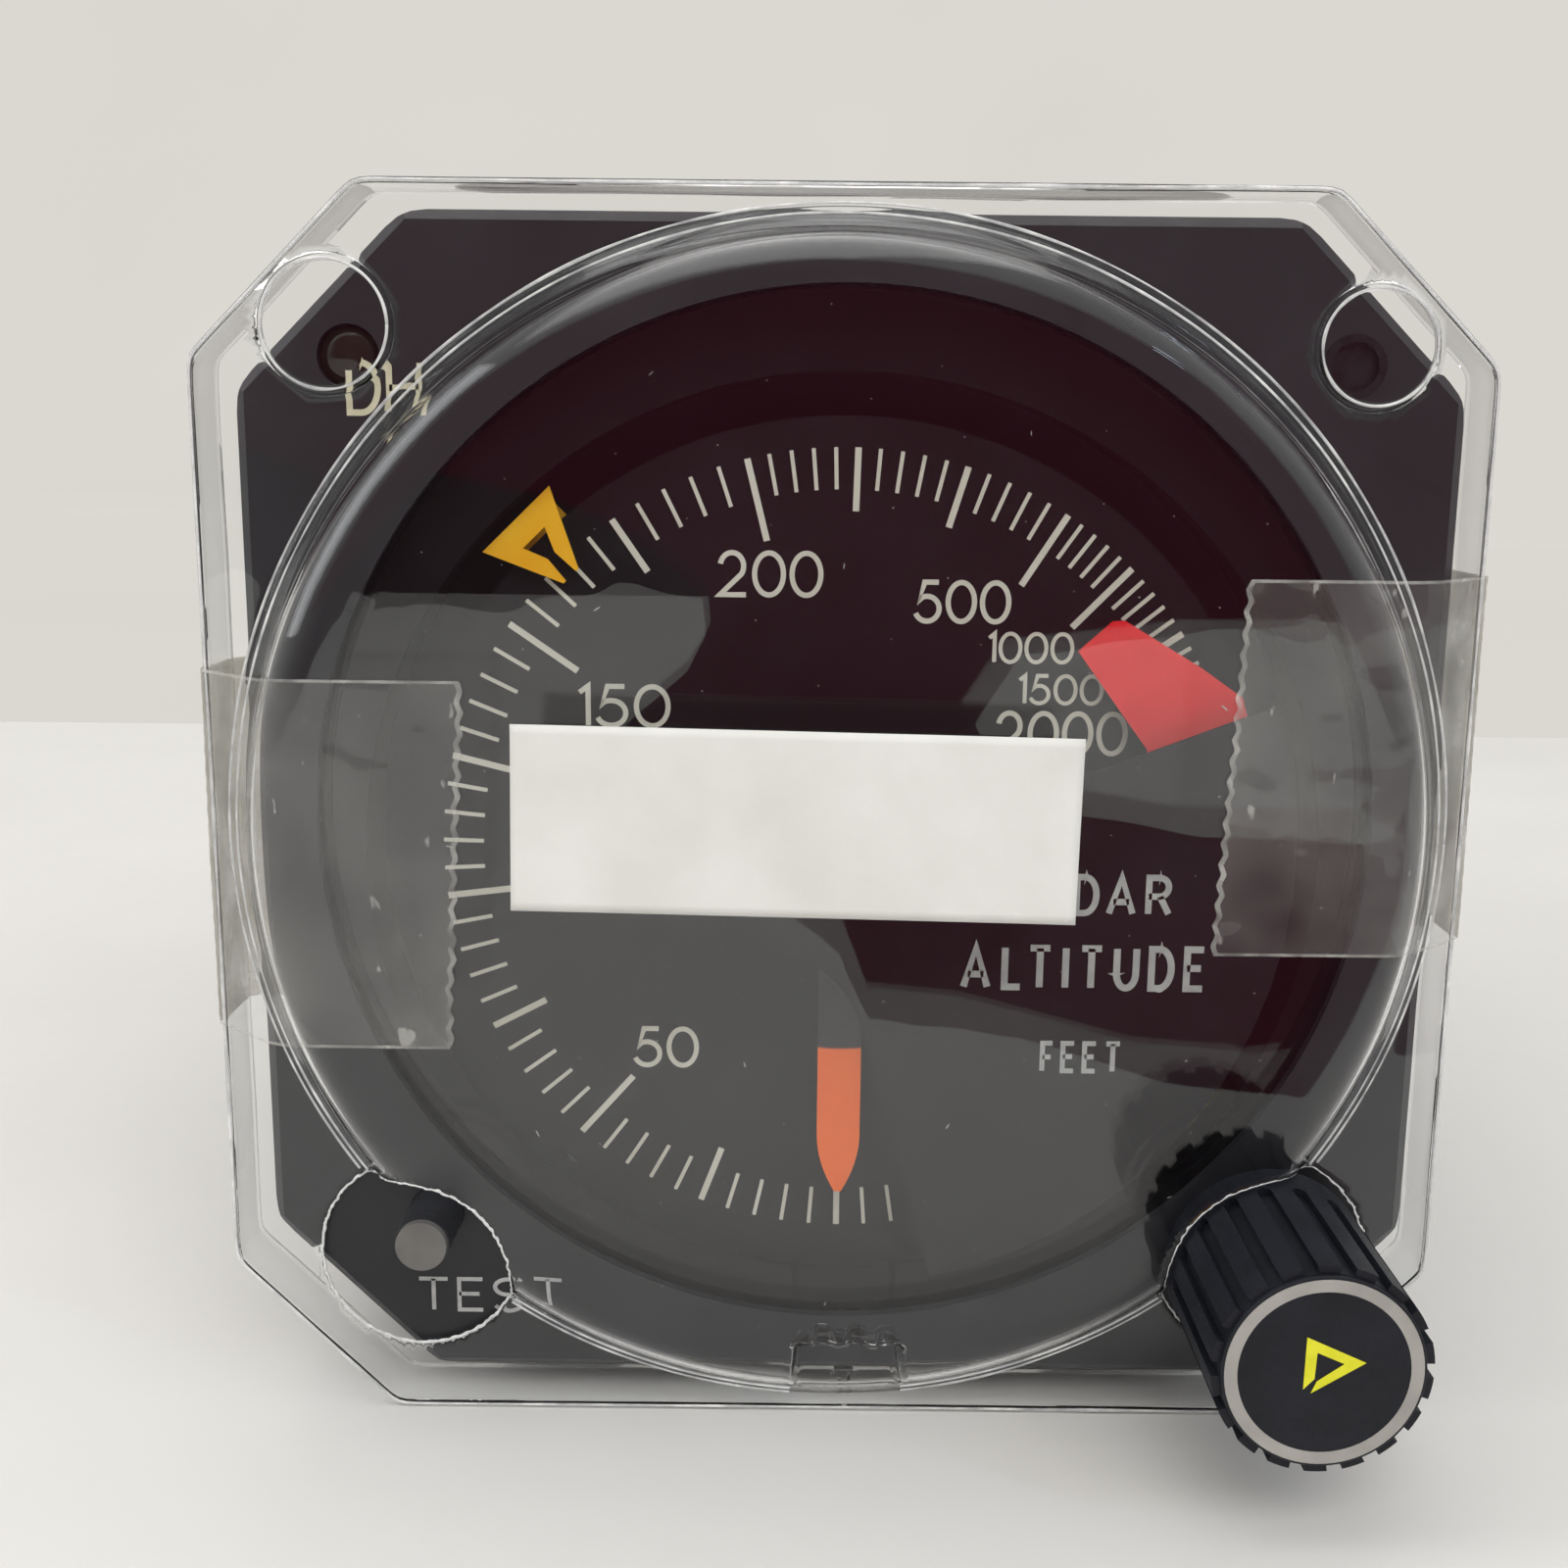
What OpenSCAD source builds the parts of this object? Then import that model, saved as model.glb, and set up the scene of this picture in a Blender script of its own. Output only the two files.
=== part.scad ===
// Panel-mounted radar altitude indicator with its clear protective cover taped on.
// Millimetres. X right, Y back into the panel, Z up.
// The origin is the centre of the bezel's rear face, which seats on the instrument panel.

/* [Bezel] */
// Width across the flats of the bezel
bezel_w = 82.8; // [81:0.1:92]
// Depth of the bezel, front face to panel face
bezel_t = 10; // [9.5:0.1:14]
// Leg of the cut corners of the bezel
corner_leg = 11.6; // [10:0.1:12.5]
// Radius where the sides of the bezel and the case meet
corner_round = 4; // [1:0.5:6]
// Bevel around the front edge of the bezel
edge_bevel = 0.7; // [0.3:0.1:1.5]
// Radius of the window opening
window_r = 37; // [36.6:0.1:37.6]
// Thickness of the lip that holds the window
lip_t = 0.8; // [0.5:0.1:1.2]
// Radius of the bore behind the lip
bore_r = 38.4; // [38:0.1:39]

/* [Window] */
// Thickness of the window glass
glass_t = 1.2; // [0.8:0.1:1.6]
// Thickness of the gasket in front of the glass
gasket_t = 0.3; // [0.2:0.05:0.5]
// Depth of the ring that holds the glass in
retainer_t = 1.7; // [1:0.1:2]
// Radial clearance of the pieces that drop into the bore
bore_gap = 0.2; // [0.1:0.05:0.3]

/* [Dial] */
// Height of the dial centre above the bezel centre
dial_z = -3.15; // [-3.4:0.05:-2.5]
// Radius of the dial plate
dial_r = 31.6; // [31:0.1:32]
// Thickness of the dial plate
dial_t = 1; // [0.6:0.1:1.4]
// Radius of the outer end of the scale marks
scale_r = 29.4; // [28:0.1:30.5]
// Height of the printed scale above the dial
print_t = 0.1; // [0.05:0.05:0.2]
// Free height between the layers of hands in front of the dial
layer_gap = 0.6; // [0.4:0.05:0.8]
// Clear radius around the dial inside the surround
surround_r = 34.6; // [34.3:0.1:34.8]

/* [Legend mask] */
// Thickness of the legend mask
mask_t = 0.5; // [0.3:0.05:0.7]
// Radius of the round centre of the mask
mask_hub_r = 7.9; // [7:0.1:9]
// Radius of the rivet posts that carry the mask
post_r = 1.2; // [0.8:0.1:1.5]
// Distance of the rivet posts from the dial centre
post_reach = 29; // [28.5:0.1:29.5]

/* [Hands] */
// Length of the pointer from its axis to its tip
pointer_len = 25.55; // [24:0.05:26]
// Width of the pointer blade
pointer_w = 3.2; // [2.4:0.1:4]
// Thickness of the pointer sheet
pointer_t = 0.4; // [0.3:0.05:0.5]
// Radius of the pointer shaft
shaft_r = 1; // [0.8:0.05:1.2]
// Thickness of the warning flag sheet
flag_t = 0.3; // [0.2:0.05:0.4]
// Turn of the warning flag from the top of the dial to its leading edge
flag_lead = 47.5; // [44:0.5:50]
// Thickness of the height bug sheet
bug_t = 0.3; // [0.2:0.05:0.4]
// Outer radius of the height bug
bug_r = 33.7; // [33.2:0.1:33.9]
// Turn of the height bug from the top of the dial
bug_turn = -44.2; // [-60:0.1:-30]
// Radial clearance of everything that turns
run_gap = 0.04; // [0.02:0.01:0.08]

/* [Knob] */
// Place of the knob axis to the right of the bezel centre
knob_x = 30.85; // [30.6:0.05:31]
// Place of the knob axis above the bezel centre
knob_z = -31.4; // [-31.6:0.05:-31.2]
// Radius of the knob over its lands
knob_r = 7.2; // [6.8:0.1:7.4]
// Length of the knob
knob_len = 16.3; // [10:0.1:20]
// Gap between the knob and the face of the bezel
knob_lift = 2; // [1.2:0.1:3]
// Radius of the knob shaft
knob_shaft_r = 2; // [1.5:0.1:2.2]
// Number of lands around the knob
knob_lands = 18; // [12:1:20]

/* [Button and lamps] */
// Place of the test button to the left of the bezel centre
button_x = -29.46; // [-30:0.05:-29]
// Place of the test button above the bezel centre
button_z = -29.12; // [-29.6:0.05:-28.6]
// Radius of the test button
button_r = 1.95; // [1.5:0.05:2.2]
// Height of the test button above the bezel
button_lift = 6; // [4:0.1:7]
// Travel of the test button
button_travel = 2; // [1:0.1:3]
// Radius of the lamp and sensor windows in the upper corners
lamp_r = 2.1; // [1.5:0.1:2.3]
// Place of the two corner windows from the vertical centre line
lamp_x = 33.6; // [33:0.1:34]
// Place of the two corner windows above the bezel centre
lamp_z = 31.9; // [31.5:0.1:32.3]

/* [Case] */
// Length of the case tube behind the bezel
case_len = 140; // [126:1:180]
// Width across the flats of the case tube
case_w = 80.6; // [80:0.1:81.6]
// Wall of the case tube
case_wall = 1.2; // [0.8:0.1:1.6]
// Thickness of the rear plate
rear_t = 3; // [2:0.1:5]
// Radius of the tie rods
rod_r = 2.3; // [2:0.1:2.5]
// Radius of the small screws
screw_r = 1.25; // [1:0.05:1.4]

/* [Mechanism] */
// Thickness of the two frame plates
plate_t = 2.5; // [2:0.1:4]
// Distance between the two frame plates
frame_gap = 20; // [18:0.5:26]
// Tooth size of all gears, pitch diameter over teeth
gear_module = 0.5; // [0.49:0.002:0.502]
// Width of the gears
gear_w = 1.3; // [1:0.1:1.5]
// Radius of the servo motor
motor_r = 10; // [8:0.5:11]
// Length of the servo motor
motor_len = 34; // [24:1:40]
// Radius of the pointer position pickoff
pickoff_r = 7.5; // [6:0.1:9]
// Radius of the height setting potentiometer
pot_r = 6.35; // [5:0.05:7]

/* [Boards] */
// Length of the circuit boards
board_len = 78; // [60:1:84]
// Height of the circuit boards
board_h = 56; // [48:1:58]
// Thickness of the circuit boards
board_t = 1.6; // [1.2:0.1:2]

/* [Connector] */
// Radius of the barrel of the rear connector
barrel_r = 11.1; // [9:0.1:13]
// Length of the barrel of the rear connector
barrel_len = 12; // [8:0.5:16]
// Side of the square flange of the rear connector
flange_w = 27; // [26:0.5:34]

/* [Cover] */
// Thickness of the clear sheet
sheet_t = 0.5; // [0.4:0.05:0.8]
// Free width between the sides of the bezel and the skirt
cover_room = 1.95; // [1.5:0.05:3]
// Leg of the cut corners of the skirt
cover_leg = 11.5; // [10:0.1:13]
// Radius where the sides of the skirt meet
cover_round = 0.8; // [0.5:0.1:3]
// Free height between the bezel face and the flange of the cover
cover_gap = 0.3; // [0.2:0.05:0.5]
// Depth of the skirt behind the bezel face
skirt_len = 5.2; // [3:0.1:7]
// Height of the round dome above the flange
dome_h = 5.3; // [4.6:0.1:7]
// Width of the flange between the foot of the dome and the skirt
dome_margin = 1.55; // [1:0.05:2.5]
// Radius of the rounded shoulder of the dome
shoulder_r = 4; // [3:0.1:4.4]
// Sideways slip of the cover on the bezel, to the left and down
cover_slip = 0.5; // [0:0.1:0.8]
// Radius of the cut-outs for the button and the knob
cutout_r = 7.7; // [7.6:0.1:8.5]
// Width of the tape strips
tape_w = 25.4; // [12:0.1:26]
// Thickness of the tape
tape_t = 0.15; // [0.1:0.05:0.3]
// Length of the label
label_len = 38.1; // [20:0.1:40]
// Height of the label
label_h = 12.7; // [8:0.1:14]

/* [Hidden] */
$fn = 96;

// Layers behind the bezel face, from front to back
bezel_face = -bezel_t;
lip_back = bezel_face + lip_t;
glass_front = lip_back + gasket_t;
glass_back = glass_front + glass_t;
mask_gap = 0.3;
mask_front = glass_back + mask_gap;
mask_back = mask_front + mask_t;
pointer_front = mask_back + layer_gap;
pointer_back = pointer_front + pointer_t;
flag_front = pointer_back + layer_gap;
flag_back = flag_front + flag_t;
bug_front = flag_back + layer_gap;
bug_back = bug_front + bug_t;
dial_front = bug_back + layer_gap;
dial_back = dial_front + dial_t;
foot_front = dial_back + layer_gap;
gear_front = foot_front + bug_t;
gear_back = gear_front + gear_w;
retainer_back = glass_back + retainer_t;

// Frame plates and the case behind them
front_frame_back = plate_t;
rear_frame_front = front_frame_back + frame_gap;
rear_frame_back = rear_frame_front + plate_t;
rear_plate_back = case_len + rear_t;
frame_clear = 0.2;

// Corner legs that keep the cut corners parallel when an outline shrinks
function leg_inside(leg, step) = leg - step * (2 - sqrt(2));
bezel_half = bezel_w / 2;
case_half = case_w / 2;
case_leg = leg_inside(corner_leg, bezel_half - case_half);
frame_half = case_half - case_wall - frame_clear;
frame_leg = leg_inside(case_leg, case_half - frame_half);

// Scale of the dial in degrees clockwise from the bottom, with heights in feet
fine_step = 0.83;
mid_step = 0.155;
coarse_step = 0.0235;
fine_end = 200;
mid_end = 500;
scale_end = 2000;
function scale_angle(ft) =
    ft <= fine_end ? ft * fine_step
    : ft <= mid_end ? fine_end * fine_step + (ft - fine_end) * mid_step
    : fine_end * fine_step + (mid_end - fine_end) * mid_step + (ft - mid_end) * coarse_step;
fine_marks = [for (ft = [-10 : 5 : 195]) ft];
mid_marks = [for (ft = [200 : 20 : 480]) ft];
coarse_marks = [for (ft = [500 : 100 : 2000]) ft];
hundred_marks = [300, 400];
long_marks = [0, 50, 100, 150, 200, 500, 1000, 1500, 2000];
half_marks = [25, 75, 125, 175];
thin_mark = 0.28;
bold_mark = 0.46;
short_share = 0.9;
middle_share = 0.848;
long_share = 0.798;

// Gears: tooth counts, places and meshing turns, seen from the front
bug_teeth = 112;
pot_teeth = 21;
knob_teeth = 14;
pointer_teeth = 60;
idler_wheel_teeth = 45;
idler_pinion_teeth = 15;
motor_teeth = 15;
tooth_thinning = 0.045;
pressure_angle = 20;
addendum = 0.8;
dedendum = 1.2;
function pitch_r(teeth) = gear_module * teeth / 2;
function tip_r(teeth) = pitch_r(teeth) + addendum * gear_module;
function root_r(teeth) = pitch_r(teeth) - dedendum * gear_module;
function polar(r, a) = [r * cos(a), r * sin(a)];
function clock(r, a) = [r * sin(a), r * cos(a)];
// Turn of a gear that meshes with one of given teeth and turn, lying in direction a from it
function mesh_turn(turn, teeth, a, other_teeth) =
    a + 180 - (turn - a) * teeth / other_teeth + 180 / other_teeth;
dial_pos = [0, dial_z];
knob_pos = [knob_x, knob_z];
button_pos = [button_x, button_z];
knob_dir = atan2(knob_z - dial_z, knob_x);
knob_reach = norm(knob_pos - dial_pos);
bug_to_pot = pitch_r(bug_teeth) + pitch_r(pot_teeth);
pot_to_knob = pitch_r(pot_teeth) + pitch_r(knob_teeth);
pot_swing = acos(min(1, (knob_reach ^ 2 + bug_to_pot ^ 2 - pot_to_knob ^ 2)
    / (2 * knob_reach * bug_to_pot)));
pot_dir = knob_dir + pot_swing;
pot_pos = dial_pos + polar(bug_to_pot, pot_dir);
pot_knob_dir = atan2(knob_z - pot_pos[1], knob_x - pot_pos[0]);
pot_gear_turn = mesh_turn(pot_dir, bug_teeth, pot_dir, pot_teeth);
knob_gear_turn = mesh_turn(pot_gear_turn, pot_teeth, pot_knob_dir, knob_teeth);
idler_dir = 135;
motor_dir = 30;
idler_pos = dial_pos + polar(pitch_r(pointer_teeth) + pitch_r(idler_pinion_teeth), idler_dir);
motor_pos = idler_pos + polar(pitch_r(idler_wheel_teeth) + pitch_r(motor_teeth), motor_dir);
idler_pinion_turn = mesh_turn(idler_dir, pointer_teeth, idler_dir, idler_pinion_teeth);
motor_gear_turn = mesh_turn(motor_dir, idler_wheel_teeth, motor_dir, motor_teeth);
pointer_gear_front = front_frame_back + 3;
idler_wheel_front = pointer_gear_front + gear_w + 2;

// Fastening places
rod_x = case_half - case_wall - rod_r - 0.6;
rod_z = 20;
rod_places = [for (sx = [-1, 1], sz = [-1, 1]) [sx * rod_x, sz * rod_z]];
frame_post_r = 2.5;
post_step = rod_r + frame_post_r + 3.4;
low_post_in = [10.9, 6.9];
frame_post_places = [[post_step - rod_x, rod_z], [rod_x - post_step, rod_z],
    [-20, low_post_in[0] - frame_half], [11, low_post_in[1] - frame_half]];
thread_len = 6;
boss_r = 24.9;
boss_bore_r = 16.5;
dial_screw_reach = 19.5;
post_turns = [118, 152];
board_face = rod_x - rod_r - 0.05;
board_front = case_len - 10 - board_len;
board_screw_r = 1;
board_screw_y = [board_front + 8, board_front + board_len - 8];
sleeve_r = 2 * shaft_r;
lamp_depth = 4.5;
lamp_rise = 0.2;

// Cover places
dome_slope = 1.6;
flange_front = bezel_face - cover_gap - sheet_t;
dome_front = flange_front - dome_h;
skirt_back = bezel_face + skirt_len;
cover_half = bezel_half + cover_room + sheet_t;
dome_r = cover_half - dome_margin;
dome_flat_r = dome_r - shoulder_r - dome_slope;
boss_places = [[-34.4, 34.4, 4.3], [35.3, 33.6, 3.9]];
cover_boss_h = 0.9;
dome_notch_w = 7.3;
dome_notch_x = 1.2;
dome_notch_r = 36.2;
dome_notch_floor = 1.6;
tape_stand = 0.05;

// Bezel and legend mask
bushing_r = knob_shaft_r + 1.6;
corner_reach = (bezel_w - corner_leg) / sqrt(2);
mask_r = dial_r + 1;
mask_top = 69;
mask_edge_far = [6.54, -30.36];
mask_edge_near = [1.68, -12.81];
mask_blend = [0.62, -8.9];
mask_blend_end = [-2.1, -7.6];
mask_bottom = 167.6;

// Hands, flag drive and bug
pointer_arch = 4.55;
pointer_tip_w = 0.5;
pointer_tail_r = 4.2;
hub_r = 2.4;
sleeve_front = flag_front - 0.1;
flag_tube_bore = sleeve_r + run_gap;
flag_tube_r = flag_tube_bore + 0.8;
flag_arm_turn = flag_lead + 33;
flag_arm_w = 2.6;
flag_arm_len = 25;
magnet_r = 6.4;
bug_base_half = 3.36;
bug_tip_half = 0.75;
bug_band = 1.8;
bug_eye_half = 1.1;
bug_eye_len = 1.75;
bug_slot_half = 0.36;
bug_mouth_half = 0.52;
bug_tip_r = 28.15;
bug_stem_w = 5;
pot_shaft_r = 1.5;
pot_len = 15;

// Knob and button
knob_face = bezel_face - knob_lift - knob_len;
knob_back = bezel_face - knob_lift;
knob_round = 0.15;
collar_len = 3.4;
groove_w = 1;
groove_depth = 0.55;
rim_drop = 0.03;
rim_len = 0.4;
ring_out_r = 6.42;
ring_in_r = 5.57;
ring_t = 0.4;
set_screw_r = 1;
set_screw_sink = 0.6;
cap_t = 0.6;
button_face = bezel_face - button_lift;
button_end = -0.5;
switch_wall = 1.2;
switch_r = button_r + 2;
switch_len = 9;

// Drive and boards
idler_arbor_r = 1;
motor_shaft_r = 1.5;
motor_pilot_r = 4;
pickoff_len = 18;
cable_hole_pos = [20, -22];
cable_hole_r = 9;
web_holes = 5;
web_hole_r = 3.2;
web_hole_reach = 9;
chip_size = [3.4, 19, 7.2];
chip_margin = 6;
chip_rows = 3;
chip_step = [(board_len - 2 * chip_margin - chip_size[1]) / (chip_rows - 1), 12.5];
choke_size = [16, 22, 24];
can_r = 5;
can_len = 14;
can_step = 13;
can_gap = 5;

// Connector
flange_t = 2.2;
flange_leg = 2;
connector_reach = flange_w / 2 - 2.6;
connector_places = [for (sx = [-1, 1], sz = [-1, 1]) [sx * connector_reach, sz * connector_reach]];
flange_back = rear_plate_back + flange_t;
insert_r = barrel_r - 1.5;
contact_r = 0.6;
contact_step = 0.38 * insert_r;
contact_ring = [1, 6, 12];
contact_places = [for (k = [0 : 2], i = [0 : contact_ring[k] - 1])
    polar(k * contact_step, 360 * i / contact_ring[k])];

// Tear, label and tapes
tear_x = 0.6;
tear_w = 1.6;
tear_len = 3.6;
button_cut = [-30.55, -31.9];
label_pos = [-3.4, 1.5];
label_tilt = 0.9;
label_t = 0.12;
tape_end = -0.6;
tape_starts = [26, 25.2];
tape_heights = [-1.75, 5.45];

// Shapes used by several pieces

// Extrusion of a front-view outline between two depths
module prism(y0, y1) {
    translate([0, y1, 0])
        rotate([90, 0, 0])
            linear_extrude(y1 - y0)
                children();
}

// Round bar along the depth
module bar(pos, r, y0, y1) {
    translate([pos[0], y0, pos[1]])
        rotate([-90, 0, 0])
            cylinder(r = r, h = y1 - y0);
}

// Round ring along the depth
module ring(pos, r_out, r_in, y0, y1) {
    difference() {
        bar(pos, r_out, y0, y1);
        bar(pos, r_in, y0 - 1, y1 + 1);
    }
}

// Square outline with cut corners, rounded where the sides meet
module cut_square(half, leg, round_r) {
    turn = 22.5;
    corners = [
        [half, half - leg], [half - leg, half], [leg - half, half], [-half, half - leg],
        [-half, leg - half], [leg - half, -half], [half - leg, -half], [half, leg - half]
    ];
    polygon([
        for (k = [0 : 7], a = [-turn, -turn / 3, turn / 3, turn])
            corners[k] + polar(round_r, turn + 45 * k + a) - polar(round_r / cos(turn), turn + 45 * k)
    ]);
}

// Angle by which an involute has unwound at radius r
function involute(base, r) =
    let (u = max(1, r / base)) sqrt(u * u - 1) * 180 / PI - acos(1 / u);
// Half of a tooth's angle at radius r
function tooth_half(teeth, r) =
    let (p = pitch_r(teeth), base = p * cos(pressure_angle))
    90 / teeth - tooth_thinning / p * 180 / PI + involute(base, p) - involute(base, r);

// Outline of an involute gear with a tooth at angle zero
module gear_outline(teeth) {
    steps = 3;
    radii = concat(
        [root_r(teeth)],
        [for (i = [0 : steps])
            let (low = max(root_r(teeth) + 0.05, pitch_r(teeth) * cos(pressure_angle)))
            low + (tip_r(teeth) - low) * i / steps]);
    last = len(radii) - 1;
    polygon([for (k = [0 : teeth - 1], i = [0 : 2 * last + 1])
        let (up = i <= last,
             r = up ? radii[i] : radii[2 * last + 1 - i],
             half = tooth_half(teeth, r))
        polar(r, 360 * k / teeth + (up ? -half : half))]);
}

// Gear with a round bore, at a place and a turn
module gear(pos, teeth, turn, bore, y0, y1) {
    prism(y0, y1)
        translate(pos)
            difference() {
                rotate(turn) gear_outline(teeth);
                circle(r = bore);
            }
}

// Cap screw head and shank along the depth, with a hexagon socket in its head
module cap_screw(pos, r, head_y, tip_y) {
    out = head_y > tip_y ? 1 : -1;
    head_h = 1.6 * r;
    difference() {
        union() {
            bar(pos, r, min(head_y, tip_y), max(head_y, tip_y));
            bar(pos, 1.8 * r, min(head_y, head_y + out * head_h), max(head_y, head_y + out * head_h));
        }
        translate([pos[0], head_y + out * head_h, pos[1]])
            rotate([90, 0, 0])
                cylinder(r = 0.9 * r, h = 1.2 * r, center = true, $fn = 6);
    }
}

// Bezel and window

// Hollow in the bezel and the surround for the gears of the height knob
module knob_gear_space() {
    room = 0.6;
    bar(pot_pos, tip_r(pot_teeth) + room, foot_front - room, 1);
    bar(knob_pos, tip_r(knob_teeth) + room, foot_front - room, 1);
}

module bezel() {
    color([0.10, 0.10, 0.11])
        difference() {
            union() {
                prism(bezel_face + edge_bevel, 0) cut_square(bezel_half, corner_leg, corner_round);
                bezel_front_edge();
            }
            bar([0, 0], window_r, bezel_face - 1, 1);
            bar([0, 0], bore_r, lip_back, 1);
            knob_gear_space();
            bar(knob_pos, bushing_r, bezel_face - 1, 1);
            bar(button_pos, button_r + run_gap, bezel_face - 1, 1);
            for (s = [-1, 1]) bar([s * lamp_x, lamp_z], lamp_r, bezel_face - 1, bezel_face + lamp_depth);
            for (p = rod_places) bar(p, screw_r, -thread_len, 1);
        }
}

// Bevelled front edge, cut from eight sloping sides
module bezel_front_edge() {
    side = edge_bevel * sqrt(2);
    difference() {
        prism(bezel_face, bezel_face + edge_bevel) cut_square(bezel_half, corner_leg, corner_round);
        for (k = [0 : 7])
            rotate([0, 45 * k, 0])
                translate([0, bezel_face, k % 2 == 0 ? bezel_half : corner_reach])
                    rotate([45, 0, 0])
                        cube([2 * bezel_w, side, side], center = true);
    }
}

module window_gasket() {
    color([0.05, 0.05, 0.05])
        ring([0, 0], bore_r - bore_gap, window_r + 0.1, lip_back, glass_front);
}

module window_glass() {
    color([0.75, 0.85, 0.88, 0.35])
        bar([0, 0], bore_r - bore_gap, glass_front, glass_back);
}

module glass_retainer() {
    color([0.08, 0.08, 0.08])
        ring([0, 0], bore_r, bore_r - 1.5, glass_back, retainer_back);
}

// Black sleeve that closes the space between the dial and the bore
module dial_surround() {
    color([0.06, 0.06, 0.065])
        difference() {
            bar([0, 0], bore_r - bore_gap / 2, retainer_back, 0);
            bar(dial_pos, surround_r, retainer_back - 1, 1);
            knob_gear_space();
        }
}

// Dial face

// Outline of the mask: a round centre and a wide sector at the lower right
module mask_sector() {
    arc_steps = 16;
    blend_steps = 6;
    polygon(concat(
        [[0, 0]],
        [for (i = [0 : arc_steps]) clock(mask_r, mask_top + (mask_bottom - mask_top) * i / arc_steps)],
        [mask_edge_far],
        [for (i = [0 : blend_steps])
            let (t = i / blend_steps)
            (1 - t) ^ 2 * mask_edge_near + 2 * t * (1 - t) * mask_blend + t ^ 2 * mask_blend_end]));
}

module legend_mask() {
    color([0.09, 0.09, 0.095])
        union() {
            bar(dial_pos, mask_hub_r, mask_front, mask_back);
            prism(mask_front, mask_back) translate(dial_pos) mask_sector();
        }
}

module mask_posts() {
    color([0.2, 0.2, 0.2])
        for (a = post_turns) bar(dial_pos + clock(post_reach, a), post_r, mask_back, dial_front);
}

module dial_plate() {
    color([0.05, 0.05, 0.055])
        difference() {
            bar(dial_pos, dial_r, dial_front, dial_back);
            bar(dial_pos, flag_tube_r + 0.6, dial_front - 1, dial_back + 1);
            for (s = [-1, 1])
                bar(dial_pos + [s * dial_screw_reach, 0], screw_r * 0.8, dial_front - 1, dial_back + 1);
        }
}

// One radial scale mark at a turn from the bottom of the dial
module scale_mark(ft, inner_share, width) {
    rotate(-90 - scale_angle(ft))
        translate([scale_r * inner_share, -width / 2])
            square([scale_r * (1 - inner_share), width]);
}

function is_one_of(value, list) = len(search(value, list)) > 0;

module dial_markings() {
    color([0.85, 0.83, 0.78])
        prism(dial_front - print_t, dial_front)
            translate(dial_pos)
                for (ft = concat(fine_marks, mid_marks, coarse_marks))
                    if (is_one_of(ft, long_marks))
                        scale_mark(ft, long_share, bold_mark);
                    else if (is_one_of(ft, concat(half_marks, hundred_marks)))
                        scale_mark(ft, middle_share, bold_mark);
                    else
                        scale_mark(ft, short_share, thin_mark);
}

module dial_screws() {
    color([0.1, 0.1, 0.1])
        for (s = [-1, 1]) {
            pos = dial_pos + [s * dial_screw_reach, 0];
            bar(pos, screw_r * 0.8, dial_front, dial_back + 2);
            bar(pos, screw_r * 1.5, dial_front - 0.3, dial_front);
        }
}

// Pointer and its drive

// Pointer blade: straight sides and a pointed arch at the tip, hanging down at zero
module pointer_blade() {
    steps = 8;
    arch = [for (i = [0 : steps])
        let (t = i / steps)
        [pointer_tip_w / 2 + (pointer_w - pointer_tip_w) / 2 * (1 - t * t),
         pointer_arch * (1 - t) - pointer_len]];
    polygon(concat(
        [[pointer_w / 2, 0]],
        arch,
        [for (i = [steps : -1 : 0]) [-arch[i][0], arch[i][1]]],
        [[-pointer_w / 2, 0]]));
}

module pointer() {
    color([0.91, 0.47, 0.22])
        difference() {
            union() {
                prism(pointer_front, pointer_back) translate(dial_pos) pointer_blade();
                bar(dial_pos, pointer_tail_r, pointer_front, pointer_back);
            }
            bar(dial_pos, shaft_r, pointer_front - 1, pointer_back + 1);
        }
}

module pointer_hub() {
    color([0.75, 0.62, 0.32])
        ring(dial_pos, hub_r, shaft_r, pointer_back, sleeve_front - 0.15);
}

module pointer_shaft() {
    color([0.72, 0.73, 0.75])
        bar(dial_pos, shaft_r, pointer_front, rear_frame_back + 8);
}

module pointer_gear() {
    color([0.78, 0.66, 0.36]) {
        difference() {
            gear(dial_pos, pointer_teeth, idler_dir, shaft_r,
                pointer_gear_front, pointer_gear_front + gear_w);
            for (k = [0 : web_holes - 1])
                bar(dial_pos + polar(web_hole_reach, 360 * k / web_holes), web_hole_r,
                    pointer_gear_front - 1, pointer_gear_front + gear_w + 1);
        }
        ring(dial_pos, hub_r + 1, shaft_r, pointer_gear_front + gear_w, pointer_gear_front + gear_w + 2.5);
    }
}

// Warning flag and its drive

module flag_blade() {
    polygon([
        clock(22.6, flag_lead), clock(25.8, flag_lead), clock(26.5, flag_lead + 1.2),
        clock(29.2, flag_lead + 13.5), clock(31, flag_lead + 19.6), clock(30.9, flag_lead + 26),
        clock(29.6, flag_lead + 35), clock(23, flag_lead + 36), clock(23.4, flag_lead + 22)
    ]);
}

module flag_arm() {
    rotate(90 - flag_arm_turn)
        translate([0, -flag_arm_w / 2])
            square([flag_arm_len, flag_arm_w]);
}

module warning_flag() {
    color([0.85, 0.20, 0.22])
        difference() {
            union() {
                prism(flag_front, flag_back) translate(dial_pos) flag_blade();
                prism(flag_front, flag_back) translate(dial_pos) flag_arm();
                bar(dial_pos, flag_tube_r + 0.8, flag_front, flag_back);
            }
            bar(dial_pos, flag_tube_r, flag_front - 1, flag_back + 1);
        }
}

module flag_tube() {
    color([0.75, 0.62, 0.32])
        ring(dial_pos, flag_tube_r, flag_tube_bore, flag_front, gear_back);
}

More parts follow.
